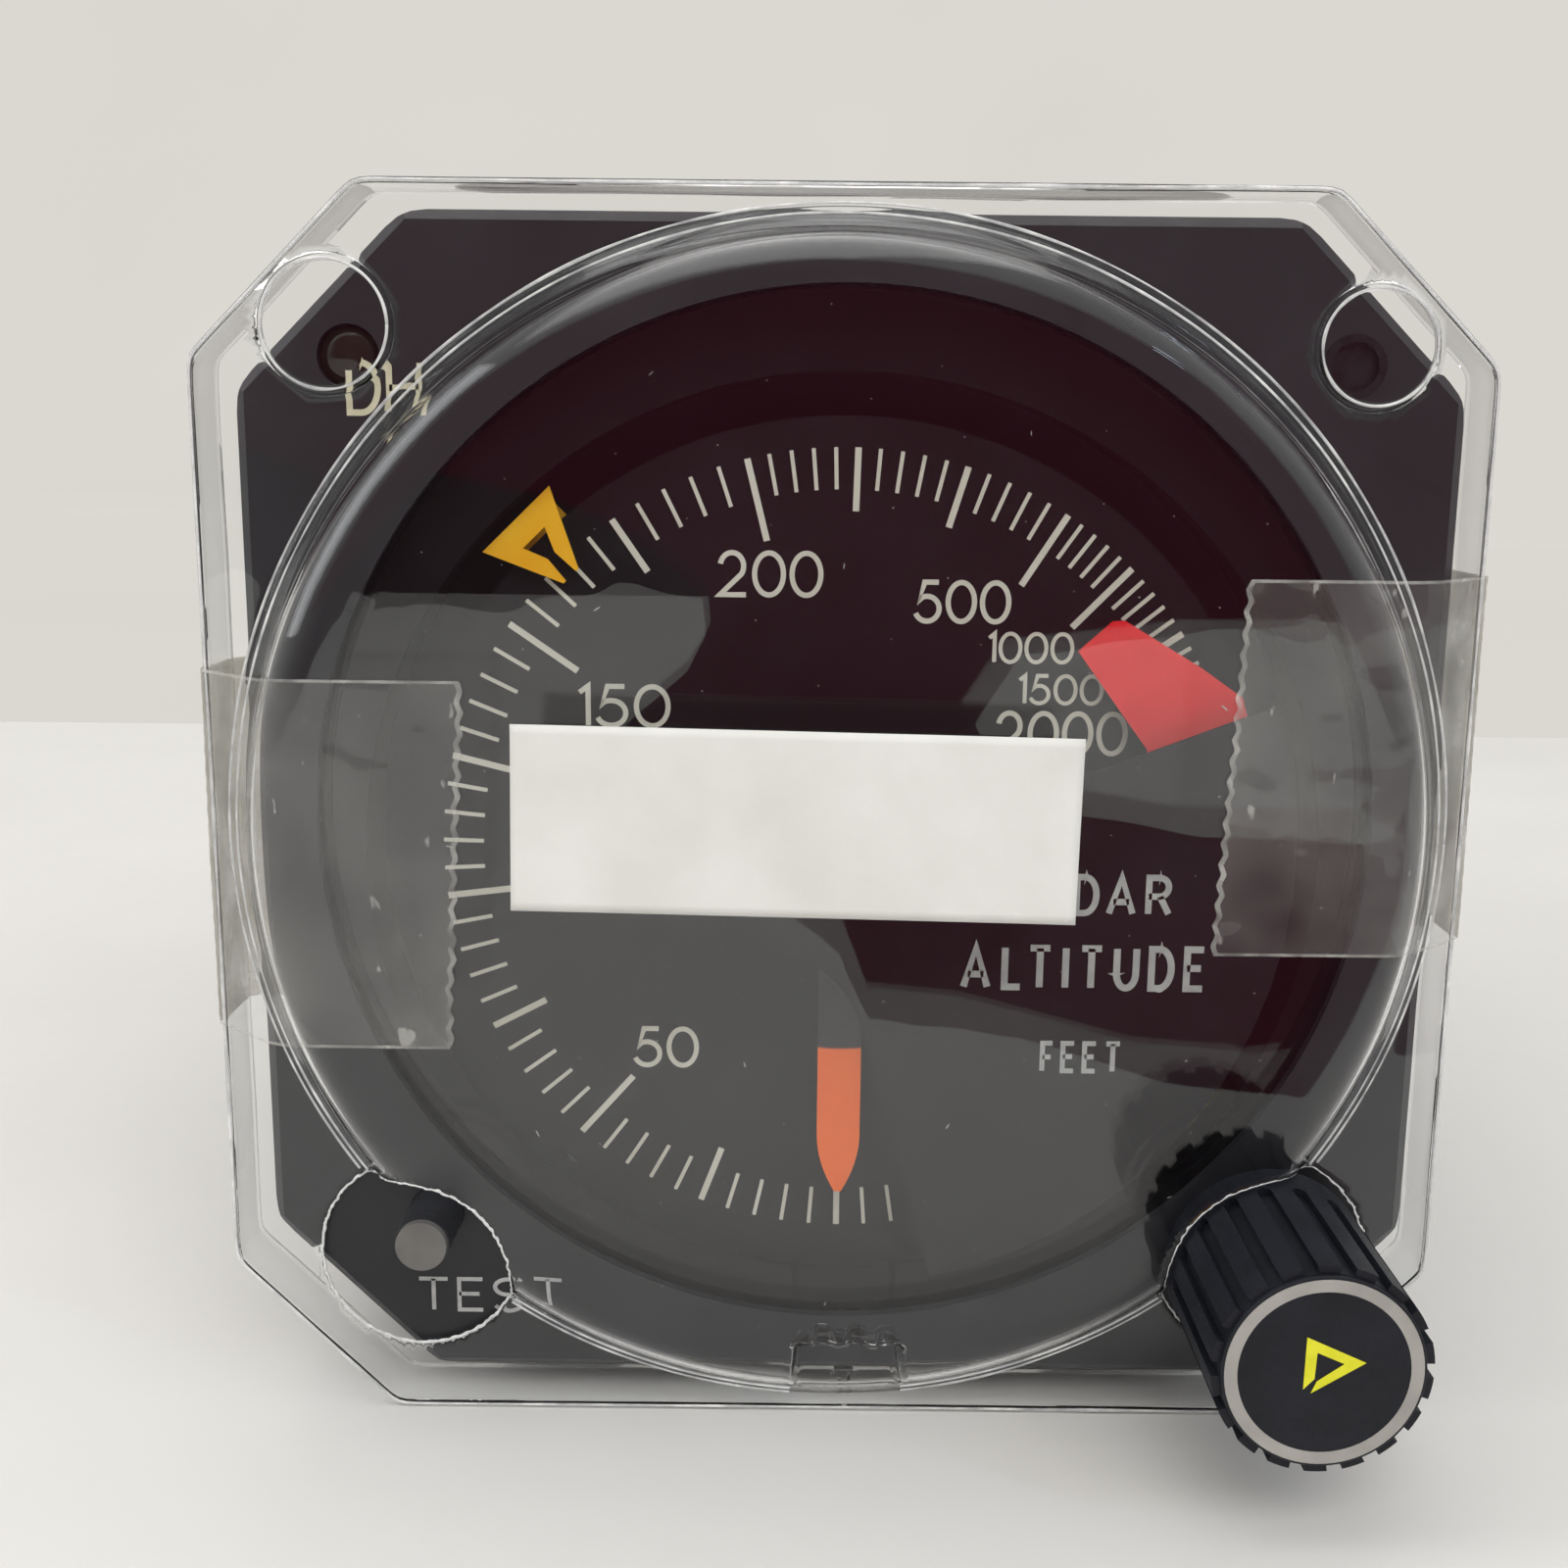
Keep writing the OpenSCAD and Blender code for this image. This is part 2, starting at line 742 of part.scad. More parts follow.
module flag_magnet() {
    color([0.35, 0.36, 0.38])
        ring(dial_pos, magnet_r, flag_tube_r, foot_front, gear_back);
}

module flag_coil() {
    color([0.72, 0.40, 0.22])
        ring(dial_pos, boss_bore_r - 1, magnet_r + 0.5, foot_front, 0);
}

// Height bug and its gears

module bug_blade_outline() {
    eye_r = bug_r - bug_band;
    slot_r = eye_r - bug_eye_len;
    mouth_r = bug_tip_r - 0.1;
    difference() {
        polygon([
            [bug_r, bug_base_half], [bug_r, -bug_base_half],
            [bug_tip_r, -bug_tip_half], [bug_tip_r, bug_tip_half]
        ]);
        polygon([
            [eye_r, bug_eye_half], [eye_r, -bug_eye_half], [slot_r, -bug_slot_half],
            [mouth_r, -bug_mouth_half], [mouth_r, bug_mouth_half], [slot_r, bug_slot_half]
        ]);
    }
}

// Folded sheet: the blade in front of the dial, a stem outside its edge and a foot on the gear
module dh_bug() {
    stem_r = bug_r - 2 * bug_t;
    color([0.94, 0.67, 0.17])
        translate([0, 0, dial_z])
            rotate([0, bug_turn - 90, 0]) {
                prism(bug_front, bug_back) bug_blade_outline();
                prism(bug_front, gear_front)
                    translate([stem_r, -bug_stem_w / 2])
                        square([bug_r - stem_r, bug_stem_w]);
                prism(foot_front, gear_front)
                    translate([boss_r + 0.6, -bug_stem_w / 2])
                        square([bug_r - boss_r - 0.6, bug_stem_w]);
            }
}

module bug_gear() {
    color([0.78, 0.66, 0.36])
        gear(dial_pos, bug_teeth, pot_dir, boss_r + run_gap, gear_front, gear_back);
}

module pot_gear() {
    color([0.78, 0.66, 0.36])
        gear(pot_pos, pot_teeth, pot_gear_turn, pot_shaft_r, gear_front, gear_back);
}

module pot_shaft() {
    color([0.72, 0.73, 0.75])
        bar(pot_pos, pot_shaft_r, gear_front, front_frame_back + pot_len / 2);
}

module dh_pot() {
    color([0.16, 0.30, 0.42])
        difference() {
            union() {
                bar(pot_pos, pot_r, front_frame_back, front_frame_back + pot_len);
                bar(pot_pos, pot_shaft_r + 1.2, 0, front_frame_back);
            }
            bar(pot_pos, pot_shaft_r + run_gap, -1, front_frame_back + pot_len / 2 + 0.5);
        }
}

// Knob

module knob_body() {
    rim_r = knob_r - groove_depth - rim_drop;
    color([0.07, 0.07, 0.075])
        difference() {
            translate([knob_x, knob_back, knob_z])
                rotate([90, 180 / knob_lands, 0])
                    rotate_extrude()
                        polygon(concat(
                            [[0, 0], [knob_r - knob_round, 0], [knob_r, knob_round],
                             [knob_r, knob_len - rim_len], [rim_r, knob_len - rim_len]],
                            [for (a = [0 : 30 : 90])
                                [rim_r - knob_round * (1 - cos(a)), knob_len - knob_round * (1 - sin(a))]],
                            [[0, knob_len]]));
            bar(knob_pos, knob_shaft_r, knob_face + 3, knob_back + 1);
            ring(knob_pos, ring_out_r, ring_in_r, knob_face - 1, knob_face + ring_t);
            for (k = [0 : knob_lands - 1]) knob_groove(360 * k / knob_lands);
            for (a = [0, 90]) set_screw(a, knob_shaft_r / 2, knob_r + 1);
        }
}

// Round-ended groove along the side of the knob, open at the front
module knob_groove(a) {
    groove_end = knob_back - collar_len - groove_w / 2;
    translate([knob_x, groove_end, knob_z])
        rotate([0, a, 0])
            translate([knob_r - groove_depth, 0, 0]) {
                rotate([0, 90, 0]) cylinder(r = groove_w / 2, h = 2, $fn = 32);
                translate([0, -knob_len, -groove_w / 2]) cube([2, knob_len, groove_w]);
            }
}

// Round bar across the collar of the knob, between two distances from the knob axis
module set_screw(a, from, reach) {
    translate([knob_x, knob_back - collar_len / 2, knob_z])
        rotate([0, a, 0])
            translate([from, 0, 0])
                rotate([0, 90, 0])
                    cylinder(r = set_screw_r, h = reach - from);
}

module knob_ring() {
    color([0.72, 0.70, 0.70])
        ring(knob_pos, ring_out_r, ring_in_r, knob_face, knob_face + ring_t);
}

module knob_set_screws() {
    color([0.3, 0.3, 0.31])
        for (a = [0, 90])
            difference() {
                set_screw(a, knob_shaft_r, knob_r - set_screw_sink);
                translate([knob_x, knob_back - collar_len / 2, knob_z])
                    rotate([0, a, 0])
                        translate([knob_r - set_screw_sink, 0, 0])
                            rotate([0, 90, 0])
                                cylinder(r = set_screw_r / 2, h = 2, center = true, $fn = 6);
            }
}

module knob_shaft() {
    color([0.72, 0.73, 0.75])
        bar(knob_pos, knob_shaft_r, knob_face + 3, front_frame_back);
}

module knob_pinion() {
    color([0.78, 0.66, 0.36])
        gear(knob_pos, knob_teeth, knob_gear_turn, knob_shaft_r, gear_front, gear_back);
}

module knob_bushing() {
    collar = 0.8;
    color([0.32, 0.32, 0.34]) {
        ring(knob_pos, bushing_r, knob_shaft_r + run_gap, bezel_face, foot_front - 0.6);
        ring(knob_pos, bushing_r + 1.4, knob_shaft_r + run_gap, bezel_face - collar, bezel_face);
    }
}

// Test button and corner windows

module test_button() {
    color([0.08, 0.08, 0.085])
        bar(button_pos, button_r, button_face + cap_t, button_end);
}

module button_cap() {
    color([0.56, 0.55, 0.54])
        bar(button_pos, button_r - 0.15, button_face, button_face + cap_t);
}

// Sealed switch behind the front frame, with a well that the button moves in, inside the case's outline
module test_switch() {
    well = button_end + button_travel + 0.5;
    switch_back = front_frame_back + switch_len;
    color([0.20, 0.20, 0.22])
        difference() {
            intersection() {
                union() {
                    bar(button_pos, button_r + switch_wall, 0, front_frame_back);
                    bar(button_pos, switch_r, front_frame_back, switch_back);
                }
                prism(-1, switch_back + 1) cut_square(frame_half, frame_leg, corner_round);
            }
            bar(button_pos, button_r + 0.1, -1, well);
        }
}

module dh_lamp() {
    dome = 0.9;
    lens_top = bezel_face - lamp_rise;
    ball_r = (lamp_r ^ 2 + dome ^ 2) / (2 * dome);
    color([0.28, 0.18, 0.07]) {
        bar([-lamp_x, lamp_z], lamp_r, lens_top + dome, bezel_face + lamp_depth);
        intersection() {
            translate([-lamp_x, lens_top + ball_r, lamp_z]) sphere(r = ball_r);
            bar([-lamp_x, lamp_z], lamp_r, lens_top, lens_top + dome);
        }
    }
}

module light_sensor() {
    color([0.12, 0.12, 0.14])
        difference() {
            bar([lamp_x, lamp_z], lamp_r, bezel_face - lamp_rise, bezel_face + lamp_depth);
            bar([lamp_x, lamp_z], lamp_r - 0.5, bezel_face - 1, bezel_face + 0.3);
        }
}

// Frame, gears and electrics behind the dial

module front_frame() {
    color([0.62, 0.63, 0.65])
        difference() {
            union() {
                prism(0, front_frame_back) cut_square(frame_half, frame_leg, corner_round);
                ring(dial_pos, boss_r, boss_bore_r, dial_back, 0);
            }
            bar(dial_pos, sleeve_r, -1, front_frame_back + 1);
            bar(pot_pos, pot_shaft_r + 1.2, -1, front_frame_back + 1);
            bar(knob_pos, knob_shaft_r + run_gap, -1, front_frame_back + 1);
            bar(button_pos, button_r + switch_wall, -1, front_frame_back + 1);
            bar(idler_pos, idler_arbor_r + run_gap, -1, front_frame_back + 1);
            for (s = [-1, 1])
                bar(dial_pos + [s * dial_screw_reach, 0], screw_r * 0.8, dial_back - 1, dial_back + 2);
            for (p = rod_places) bar(p, screw_r, -1, front_frame_back + 1);
            for (p = frame_post_places) bar(p, screw_r, -1, front_frame_back + 1);
        }
}

// Fixed bearing tube: the pointer shaft turns inside it and the flag tube outside it
module shaft_sleeve() {
    color([0.75, 0.62, 0.32]) {
        ring(dial_pos, sleeve_r, shaft_r + run_gap, sleeve_front, front_frame_back);
        ring(dial_pos, sleeve_r + 2, shaft_r + run_gap, front_frame_back, front_frame_back + 1.2);
    }
}

module idler_gear() {
    color([0.78, 0.66, 0.36]) {
        bar(idler_pos, idler_arbor_r, 0.5, rear_frame_back - 0.5);
        gear(idler_pos, idler_pinion_teeth, idler_pinion_turn, idler_arbor_r,
            pointer_gear_front - 0.3, idler_wheel_front);
        gear(idler_pos, idler_wheel_teeth, motor_dir, idler_arbor_r,
            idler_wheel_front, idler_wheel_front + gear_w);
    }
}

module motor_pinion() {
    color([0.72, 0.73, 0.75]) {
        bar(motor_pos, motor_shaft_r, idler_wheel_front - 0.4, rear_frame_back + 4);
        gear(motor_pos, motor_teeth, motor_gear_turn, motor_shaft_r,
            idler_wheel_front - 0.4, idler_wheel_front + gear_w + 0.4);
    }
}

module servo_motor() {
    color([0.55, 0.56, 0.58])
        difference() {
            union() {
                bar(motor_pos, motor_r, rear_frame_back, rear_frame_back + motor_len);
                bar(motor_pos, motor_pilot_r, rear_frame_front, rear_frame_back);
                bar(motor_pos, motor_r * 0.55, rear_frame_back + motor_len, rear_frame_back + motor_len + 4);
            }
            bar(motor_pos, motor_shaft_r + run_gap, rear_frame_front - 1, rear_frame_back + 4.5);
        }
}

module rear_frame() {
    color([0.62, 0.63, 0.65])
        difference() {
            prism(rear_frame_front, rear_frame_back) cut_square(frame_half, frame_leg, corner_round);
            bar(motor_pos, motor_pilot_r, rear_frame_front - 1, rear_frame_back + 1);
            bar(dial_pos, shaft_r + run_gap, rear_frame_front - 1, rear_frame_back + 1);
            bar(idler_pos, idler_arbor_r + run_gap, rear_frame_front - 1, rear_frame_back + 1);
            for (p = frame_post_places) bar(p, screw_r, rear_frame_front - 1, rear_frame_back + 1);
            for (p = rod_places) bar(p, rod_r + frame_clear, rear_frame_front - 1, rear_frame_back + 1);
            bar(cable_hole_pos, cable_hole_r, rear_frame_front - 1, rear_frame_back + 1);
        }
}

module frame_posts() {
    color([0.72, 0.73, 0.75])
        for (p = frame_post_places)
            difference() {
                union() {
                    bar(p, frame_post_r, front_frame_back, rear_frame_front);
                    bar(p, screw_r, 0, front_frame_back);
                }
                bar(p, screw_r, rear_frame_front - thread_len, rear_frame_front + 1);
            }
}

module frame_screws() {
    color([0.66, 0.67, 0.69])
        for (p = frame_post_places) cap_screw(p, screw_r, rear_frame_back, rear_frame_front - thread_len);
}

module position_pickoff() {
    color([0.30, 0.31, 0.33])
        difference() {
            bar(dial_pos, pickoff_r, rear_frame_back, rear_frame_back + pickoff_len);
            bar(dial_pos, shaft_r + run_gap, rear_frame_back - 1, rear_frame_back + 8.5);
        }
}

// Long rods that clamp the frame to the bezel and the rear plate to the case
module tie_rods() {
    color([0.70, 0.71, 0.73])
        for (p = rod_places)
            difference() {
                union() {
                    bar(p, rod_r, front_frame_back, case_len);
                    bar(p, screw_r, -thread_len, front_frame_back);
                }
                bar(p, screw_r, case_len - thread_len, case_len + 1);
                board_screw_holes(p);
            }
}

// Cross holes in one rod for the screws of its board
module board_screw_holes(p) {
    for (y = board_screw_y)
        translate([p[0], y, p[1]])
            rotate([0, 90, 0])
                cylinder(r = board_screw_r, h = 3 * rod_r, center = true);
}

// Circuit board on the inner side of two rods, at the left or the right
module board(s) {
    difference() {
        translate([s > 0 ? board_face - board_t : -board_face, board_front, -board_h / 2])
            cube([board_t, board_len, board_h]);
        for (sz = [-1, 1]) board_screw_holes([s * board_face, sz * rod_z]);
    }
}

module servo_board() {
    color([0.10, 0.32, 0.16]) board(-1);
}

module power_board() {
    color([0.10, 0.32, 0.16]) board(1);
}

module servo_chips() {
    middle = (chip_rows - 1) / 2;
    color([0.08, 0.08, 0.08])
        for (i = [0 : chip_rows - 1], k = [0 : chip_rows - 1])
            translate([board_t - board_face, board_front + chip_margin + chip_step[0] * i,
                       chip_step[1] * (k - middle) - chip_size[2] / 2])
                cube(chip_size);
}

module power_parts() {
    inner = board_face - board_t;
    can_front = board_front + chip_margin + choke_size[1] + can_gap + can_r;
    color([0.25, 0.26, 0.30]) {
        translate([inner - choke_size[0], board_front + chip_margin, -choke_size[2] / 2]) cube(choke_size);
        for (k = [0 : 2])
            translate([inner - can_len, can_front + can_step * k, 0])
                rotate([0, 90, 0])
                    cylinder(r = can_r, h = can_len);
    }
}

module board_screws() {
    head_h = 1.2;
    color([0.66, 0.67, 0.69])
        for (s = [-1, 1], sz = [-1, 1], y = board_screw_y)
            translate([s * (board_face - board_t), y, sz * rod_z])
                rotate([0, 90 * s, 0]) {
                    cylinder(r = board_screw_r, h = board_t + 1.5 * rod_r);
                    translate([0, 0, -head_h]) cylinder(r = 1.9 * board_screw_r, h = head_h);
                }
}

// Case, rear plate and connector

module case_tube() {
    color([0.12, 0.12, 0.13])
        difference() {
            prism(0, case_len) cut_square(case_half, case_leg, corner_round);
            prism(-1, case_len + 1)
                cut_square(case_half - case_wall, leg_inside(case_leg, case_wall), corner_round);
        }
}

module rear_plate() {
    color([0.13, 0.13, 0.14])
        difference() {
            prism(case_len, rear_plate_back) cut_square(case_half, case_leg, corner_round);
            bar([0, 0], barrel_r - 1, case_len - 1, rear_plate_back + 1);
            for (p = rod_places) bar(p, screw_r, case_len - 1, rear_plate_back + 1);
            for (p = connector_places) bar(p, screw_r, case_len - 1, rear_plate_back + 1);
        }
}

module rear_screws() {
    color([0.66, 0.67, 0.69])
        for (p = rod_places) cap_screw(p, screw_r, rear_plate_back, case_len - thread_len);
}

module connector_shell() {
    color([0.42, 0.43, 0.38])
        difference() {
            union() {
                prism(rear_plate_back, flange_back) cut_square(flange_w / 2, flange_leg, flange_leg / 2);
                bar([0, 0], barrel_r, flange_back, flange_back + barrel_len);
            }
            bar([0, 0], insert_r, rear_plate_back - 1, flange_back + barrel_len + 1);
            for (p = connector_places) bar(p, screw_r, rear_plate_back - 1, flange_back + 1);
        }
}

module connector_insert() {
    color([0.16, 0.16, 0.17])
        difference() {
            bar([0, 0], insert_r, case_len - 4, flange_back + barrel_len);
            for (p = contact_places) bar(p, contact_r, case_len - 5, flange_back + barrel_len + 1);
        }
}

module connector_contacts() {
    color([0.82, 0.66, 0.28])
        for (p = contact_places) bar(p, contact_r, case_len - 8, flange_back + barrel_len - 1);
}

module connector_screws() {
    color([0.66, 0.67, 0.69])
        for (p = connector_places) cap_screw(p, screw_r, flange_back, case_len);
}

// Protective cover

// Profile of the dome from its axis to its foot, sheet_in inside the outer skin
module dome_profile(sheet_in) {
    top = dome_h - sheet_in;
    round_r = shoulder_r - sheet_in;
    polygon(concat(
        [[0, -1], [dome_r - sheet_in, -1], [dome_r - sheet_in, 0]],
        [for (a = [10 : 10 : 90])
            [dome_flat_r + round_r * cos(a), top - round_r * (1 - sin(a))]],
        [[0, top]]));
}

// Outer form of the cover, or its inner form when sheet_in is the sheet's thickness
module cover_form(sheet_in) {
    translate([-cover_slip, 0, -cover_slip]) {
        prism(flange_front + sheet_in, skirt_back + 2 * sheet_in)
            cut_square(cover_half - sheet_in, leg_inside(cover_leg, sheet_in), cover_round);
        difference() {
            translate([0, flange_front, 0])
                rotate([90, 0, 0])
                    rotate_extrude()
                        dome_profile(sheet_in);
            translate([dome_notch_x - dome_notch_w / 2 - sheet_in, dome_front - 1,
                       -dome_notch_r + sheet_in - dome_r])
                cube([dome_notch_w + 2 * sheet_in, dome_h + 1 - dome_notch_floor + sheet_in, dome_r]);
        }
        for (b = boss_places)
            bar([b[0], b[1]], b[2] - sheet_in, flange_front - cover_boss_h + sheet_in, flange_front + 1);
    }
}

// Torn V in the lower edge of the skirt
module skirt_tear() {
    translate([tear_x, 0, -cover_half - cover_slip - 2])
        linear_extrude(4)
            polygon([[-tear_w / 2, skirt_back + 1], [tear_w / 2, skirt_back + 1],
                     [0, skirt_back - tear_len]]);
}

module protective_cover() {
    color([0.85, 0.87, 0.88, 0.35])
        difference() {
            cover_form(0);
            cover_form(sheet_t);
            bar(button_cut, cutout_r - 0.4, dome_front - 1, bezel_face + 0.1);
            bar(knob_pos, cutout_r + 0.2, dome_front - 1, bezel_face + 0.1);
            skirt_tear();
        }
}

module cover_label() {
    color([0.91, 0.91, 0.88])
        translate([label_pos[0], dome_front - tape_stand - label_t, label_pos[1]])
            rotate([0, label_tilt, 0])
                translate([-label_len / 2, 0, -label_h / 2])
                    cube([label_len, label_t, label_h]);
}

// Offset of a path's point k to one side, along the mean of its neighbouring normals
function unit(v) = v / norm(v);
function side_normal(path, k) =
    let (a = path[max(0, k - 1)], b = path[min(len(path) - 1, k + 1)], d = unit(b - a)) [d[1], -d[0]];
module band(path, t) {
    last = len(path) - 1;
    polygon(concat(path, [for (k = [last : -1 : 0]) path[k] + t * side_normal(path, k)]));
}

// Tape over the dome's shoulder, the skirt and the side of the bezel, for the left or the right
function tape_path(s, start) =
    let (foot = cover_half - s * cover_slip + tape_stand,
         lay_r = shoulder_r + tape_stand)
    concat(
        [[start, dome_front - tape_stand]],
        [for (a = [90 : -15 : 45])
            [dome_flat_r - s * cover_slip + lay_r * cos(a), dome_front + shoulder_r - lay_r * sin(a)]],
        [[foot, flange_front - tape_stand], [foot, skirt_back + 0.1],
         [bezel_half + tape_stand, skirt_back + 2.5], [bezel_half + tape_stand, tape_end]]);

module cover_tapes() {
    color([0.85, 0.83, 0.74, 0.4])
        for (i = [0, 1]) {
            s = i == 0 ? -1 : 1;
            translate([0, 0, tape_heights[i] - tape_w / 2])
                mirror([i == 0 ? 1 : 0, 0, 0])
                    linear_extrude(tape_w)
                        band(tape_path(s, tape_starts[i]), tape_t);
        }
}

bezel();
window_gasket();
window_glass();
glass_retainer();
dial_surround();
legend_mask();
mask_posts();
dial_plate();
dial_markings();
dial_screws();
pointer();
pointer_hub();
pointer_shaft();
pointer_gear();
warning_flag();
flag_tube();
flag_magnet();
flag_coil();
dh_bug();
bug_gear();
knob_body();
knob_ring();
knob_set_screws();
knob_shaft();
knob_pinion();
knob_bushing();
pot_gear();
pot_shaft();
dh_pot();
test_button();
button_cap();
test_switch();
dh_lamp();
light_sensor();
front_frame();
shaft_sleeve();
idler_gear();
motor_pinion();
servo_motor();
rear_frame();
frame_posts();
frame_screws();
position_pickoff();
tie_rods();
servo_board();
servo_chips();
power_board();
power_parts();
board_screws();
case_tube();
rear_plate();
rear_screws();
connector_shell();
connector_insert();
connector_contacts();
connector_screws();
protective_cover();
cover_label();
cover_tapes();
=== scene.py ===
"""Looks of a panel-mounted radar altitude indicator in its clear protective cover.

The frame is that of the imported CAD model: X right, Y back, Z up. Sizes on the part are in millimetres and
become metres where Blender takes them. The stage, the lamps and the table are in metres.
"""

import math

import bpy
from mathutils import Matrix, Vector, noise


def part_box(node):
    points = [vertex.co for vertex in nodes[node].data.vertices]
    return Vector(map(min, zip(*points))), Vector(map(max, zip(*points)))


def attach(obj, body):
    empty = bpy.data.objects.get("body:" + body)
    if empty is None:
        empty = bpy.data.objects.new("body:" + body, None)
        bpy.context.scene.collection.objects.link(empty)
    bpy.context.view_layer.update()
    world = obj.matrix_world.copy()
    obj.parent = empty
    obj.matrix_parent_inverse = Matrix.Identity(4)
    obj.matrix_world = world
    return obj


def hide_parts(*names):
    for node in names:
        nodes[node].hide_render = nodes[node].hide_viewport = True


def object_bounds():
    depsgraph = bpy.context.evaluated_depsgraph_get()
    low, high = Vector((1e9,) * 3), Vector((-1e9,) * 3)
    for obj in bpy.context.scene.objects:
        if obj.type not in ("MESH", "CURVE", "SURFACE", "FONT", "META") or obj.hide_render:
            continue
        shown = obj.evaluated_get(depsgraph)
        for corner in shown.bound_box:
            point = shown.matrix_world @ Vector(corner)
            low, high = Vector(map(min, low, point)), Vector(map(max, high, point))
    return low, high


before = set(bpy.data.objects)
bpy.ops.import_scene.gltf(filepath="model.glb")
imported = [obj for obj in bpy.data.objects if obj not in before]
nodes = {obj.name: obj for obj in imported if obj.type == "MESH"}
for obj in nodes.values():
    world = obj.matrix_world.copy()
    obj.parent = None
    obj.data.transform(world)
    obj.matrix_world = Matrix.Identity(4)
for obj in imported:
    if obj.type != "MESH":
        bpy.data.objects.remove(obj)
cad_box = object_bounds()
MM = 0.001
ROOT = "case"
FULL_TURN = 2 * math.pi


# Depths and places read from the frame

def low(node, axis):
    """Lowest coordinate of a CAD node along an axis, in millimetres."""
    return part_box(node)[0][axis] / MM


def high(node, axis):
    """Highest coordinate of a CAD node along an axis, in millimetres."""
    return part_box(node)[1][axis] / MM


def middle(node, axis):
    return (low(node, axis) + high(node, axis)) / 2


DIAL_FACE = low("dial_plate", 1)
MASK_FACE = low("legend_mask", 1)
BEZEL_FACE = low("bezel", 1)
BEZEL_SIDE = high("bezel", 0)
LABEL_FACE = low("cover_label", 1)
TAPE_END = high("cover_tapes", 1)
KNOB_FACE = low("knob_body", 1)
KNOB_X = middle("knob_body", 0)
KNOB_Z = middle("knob_body", 2)
DIAL_Z = middle("dial_plate", 2)
FLOOR_Z = cad_box[0].z / MM


# Small maths

def clamp(value, least=0.0, most=1.0):
    return max(least, min(most, value))


def smooth_step(edge0, edge1, value):
    t = clamp((value - edge0) / (edge1 - edge0))
    return t * t * (3 - 2 * t)


def ripple(x, z, size, seed):
    """Smooth noise from -1 to 1 with features of about the given size in millimetres."""
    return noise.noise(Vector((x / size, z / size, seed)))


def round_ripple(angle, reach, size, seed):
    """Smooth noise around a circle, which closes on itself after a full turn."""
    return ripple(reach * math.cos(angle), reach * math.sin(angle), size, seed)


def angles(count, more=0):
    """Angles that split a full turn into count steps, with more of them after it."""
    return [FULL_TURN * k / count for k in range(count + more)]


def round_point(cx, cz, r, angle):
    """Place in the front view at a radius and an angle around a centre."""
    return cx + r * math.cos(angle), cz + r * math.sin(angle)


def linear(hex_colour):
    """Linear colour of a display colour such as D8D4C6."""
    parts = [int(hex_colour[k:k + 2], 16) / 255 for k in (0, 2, 4)]
    return tuple(p / 12.92 if p <= 0.04045 else ((p + 0.055) / 1.055) ** 2.4 for p in parts)


# Materials

def new_material(name):
    mat = bpy.data.materials.new(name)
    mat.use_nodes = True
    tree = mat.node_tree
    tree.nodes.clear()
    out = tree.nodes.new("ShaderNodeOutputMaterial")
    shader = tree.nodes.new("ShaderNodeBsdfPrincipled")
    tree.links.new(shader.outputs["BSDF"], out.inputs["Surface"])
    return mat, tree, shader


def feed(tree, value, socket):
    """Sets a socket to a number or a colour, display or linear, or links another socket to it."""
    if isinstance(value, str):
        value = linear(value)
    if isinstance(value, tuple):
        socket.default_value = (*value, 1)
    elif isinstance(value, float):
        socket.default_value = value
    else:
        tree.links.new(value, socket)


def noise_field(tree, size_mm, detail=3.0, stretch=(1, 1, 1)):
    """Noise from 0 to 1 with features of about size_mm."""
    coords = tree.nodes.new("ShaderNodeTexCoord")
    mapping = tree.nodes.new("ShaderNodeMapping")
    mapping.inputs["Scale"].default_value = stretch
    tree.links.new(coords.outputs["Object"], mapping.inputs["Vector"])
    node = tree.nodes.new("ShaderNodeTexNoise")
    node.inputs["Scale"].default_value = 1 / (size_mm * MM)
    node.inputs["Detail"].default_value = detail
    tree.links.new(mapping.outputs["Vector"], node.inputs["Vector"])
    return node.outputs[0]


def ranged(tree, field, to_low, to_high, from_low=0.3, from_high=0.7):
    node = tree.nodes.new("ShaderNodeMapRange")
    for name, value in (("From Min", from_low), ("From Max", from_high),
                        ("To Min", to_low), ("To Max", to_high)):
        node.inputs[name].default_value = value
    tree.links.new(field, node.inputs["Value"])
    return node.outputs["Result"]


def computed(tree, operation, first, second):
    """Result of a Math node on a socket and a socket or number."""
    node = tree.nodes.new("ShaderNodeMath")
    node.operation = operation
    feed(tree, first, node.inputs[0])
    feed(tree, second, node.inputs[1])
    return node.outputs[0]


def mixed_colours(tree, field, first, second):
    """Colour between two colours or colour sockets, by a field from 0 to 1."""
    node = tree.nodes.new("ShaderNodeMix")
    node.data_type = "RGBA"
    tree.links.new(field, node.inputs[0])
    feed(tree, first, node.inputs[6])
    feed(tree, second, node.inputs[7])
    return node.outputs[2]


def patched(tree, patch, detail, dark, light):
    """Colour that varies between two colours in patches."""
    return mixed_colours(tree, ranged(tree, noise_field(tree, patch, detail), 0, 1), dark, light)


def add_bump(tree, shader, field, height_mm):
    node = tree.nodes.new("ShaderNodeBump")
    node.inputs["Strength"].default_value = 1.0
    node.inputs["Distance"].default_value = height_mm * MM
    tree.links.new(field, node.inputs["Height"])
    tree.links.new(node.outputs["Normal"], shader.inputs["Normal"])


def sharp_gloss(tree):
    node = tree.nodes.new("ShaderNodeBsdfGlossy")
    node.inputs["Roughness"].default_value = 0.0
    return node


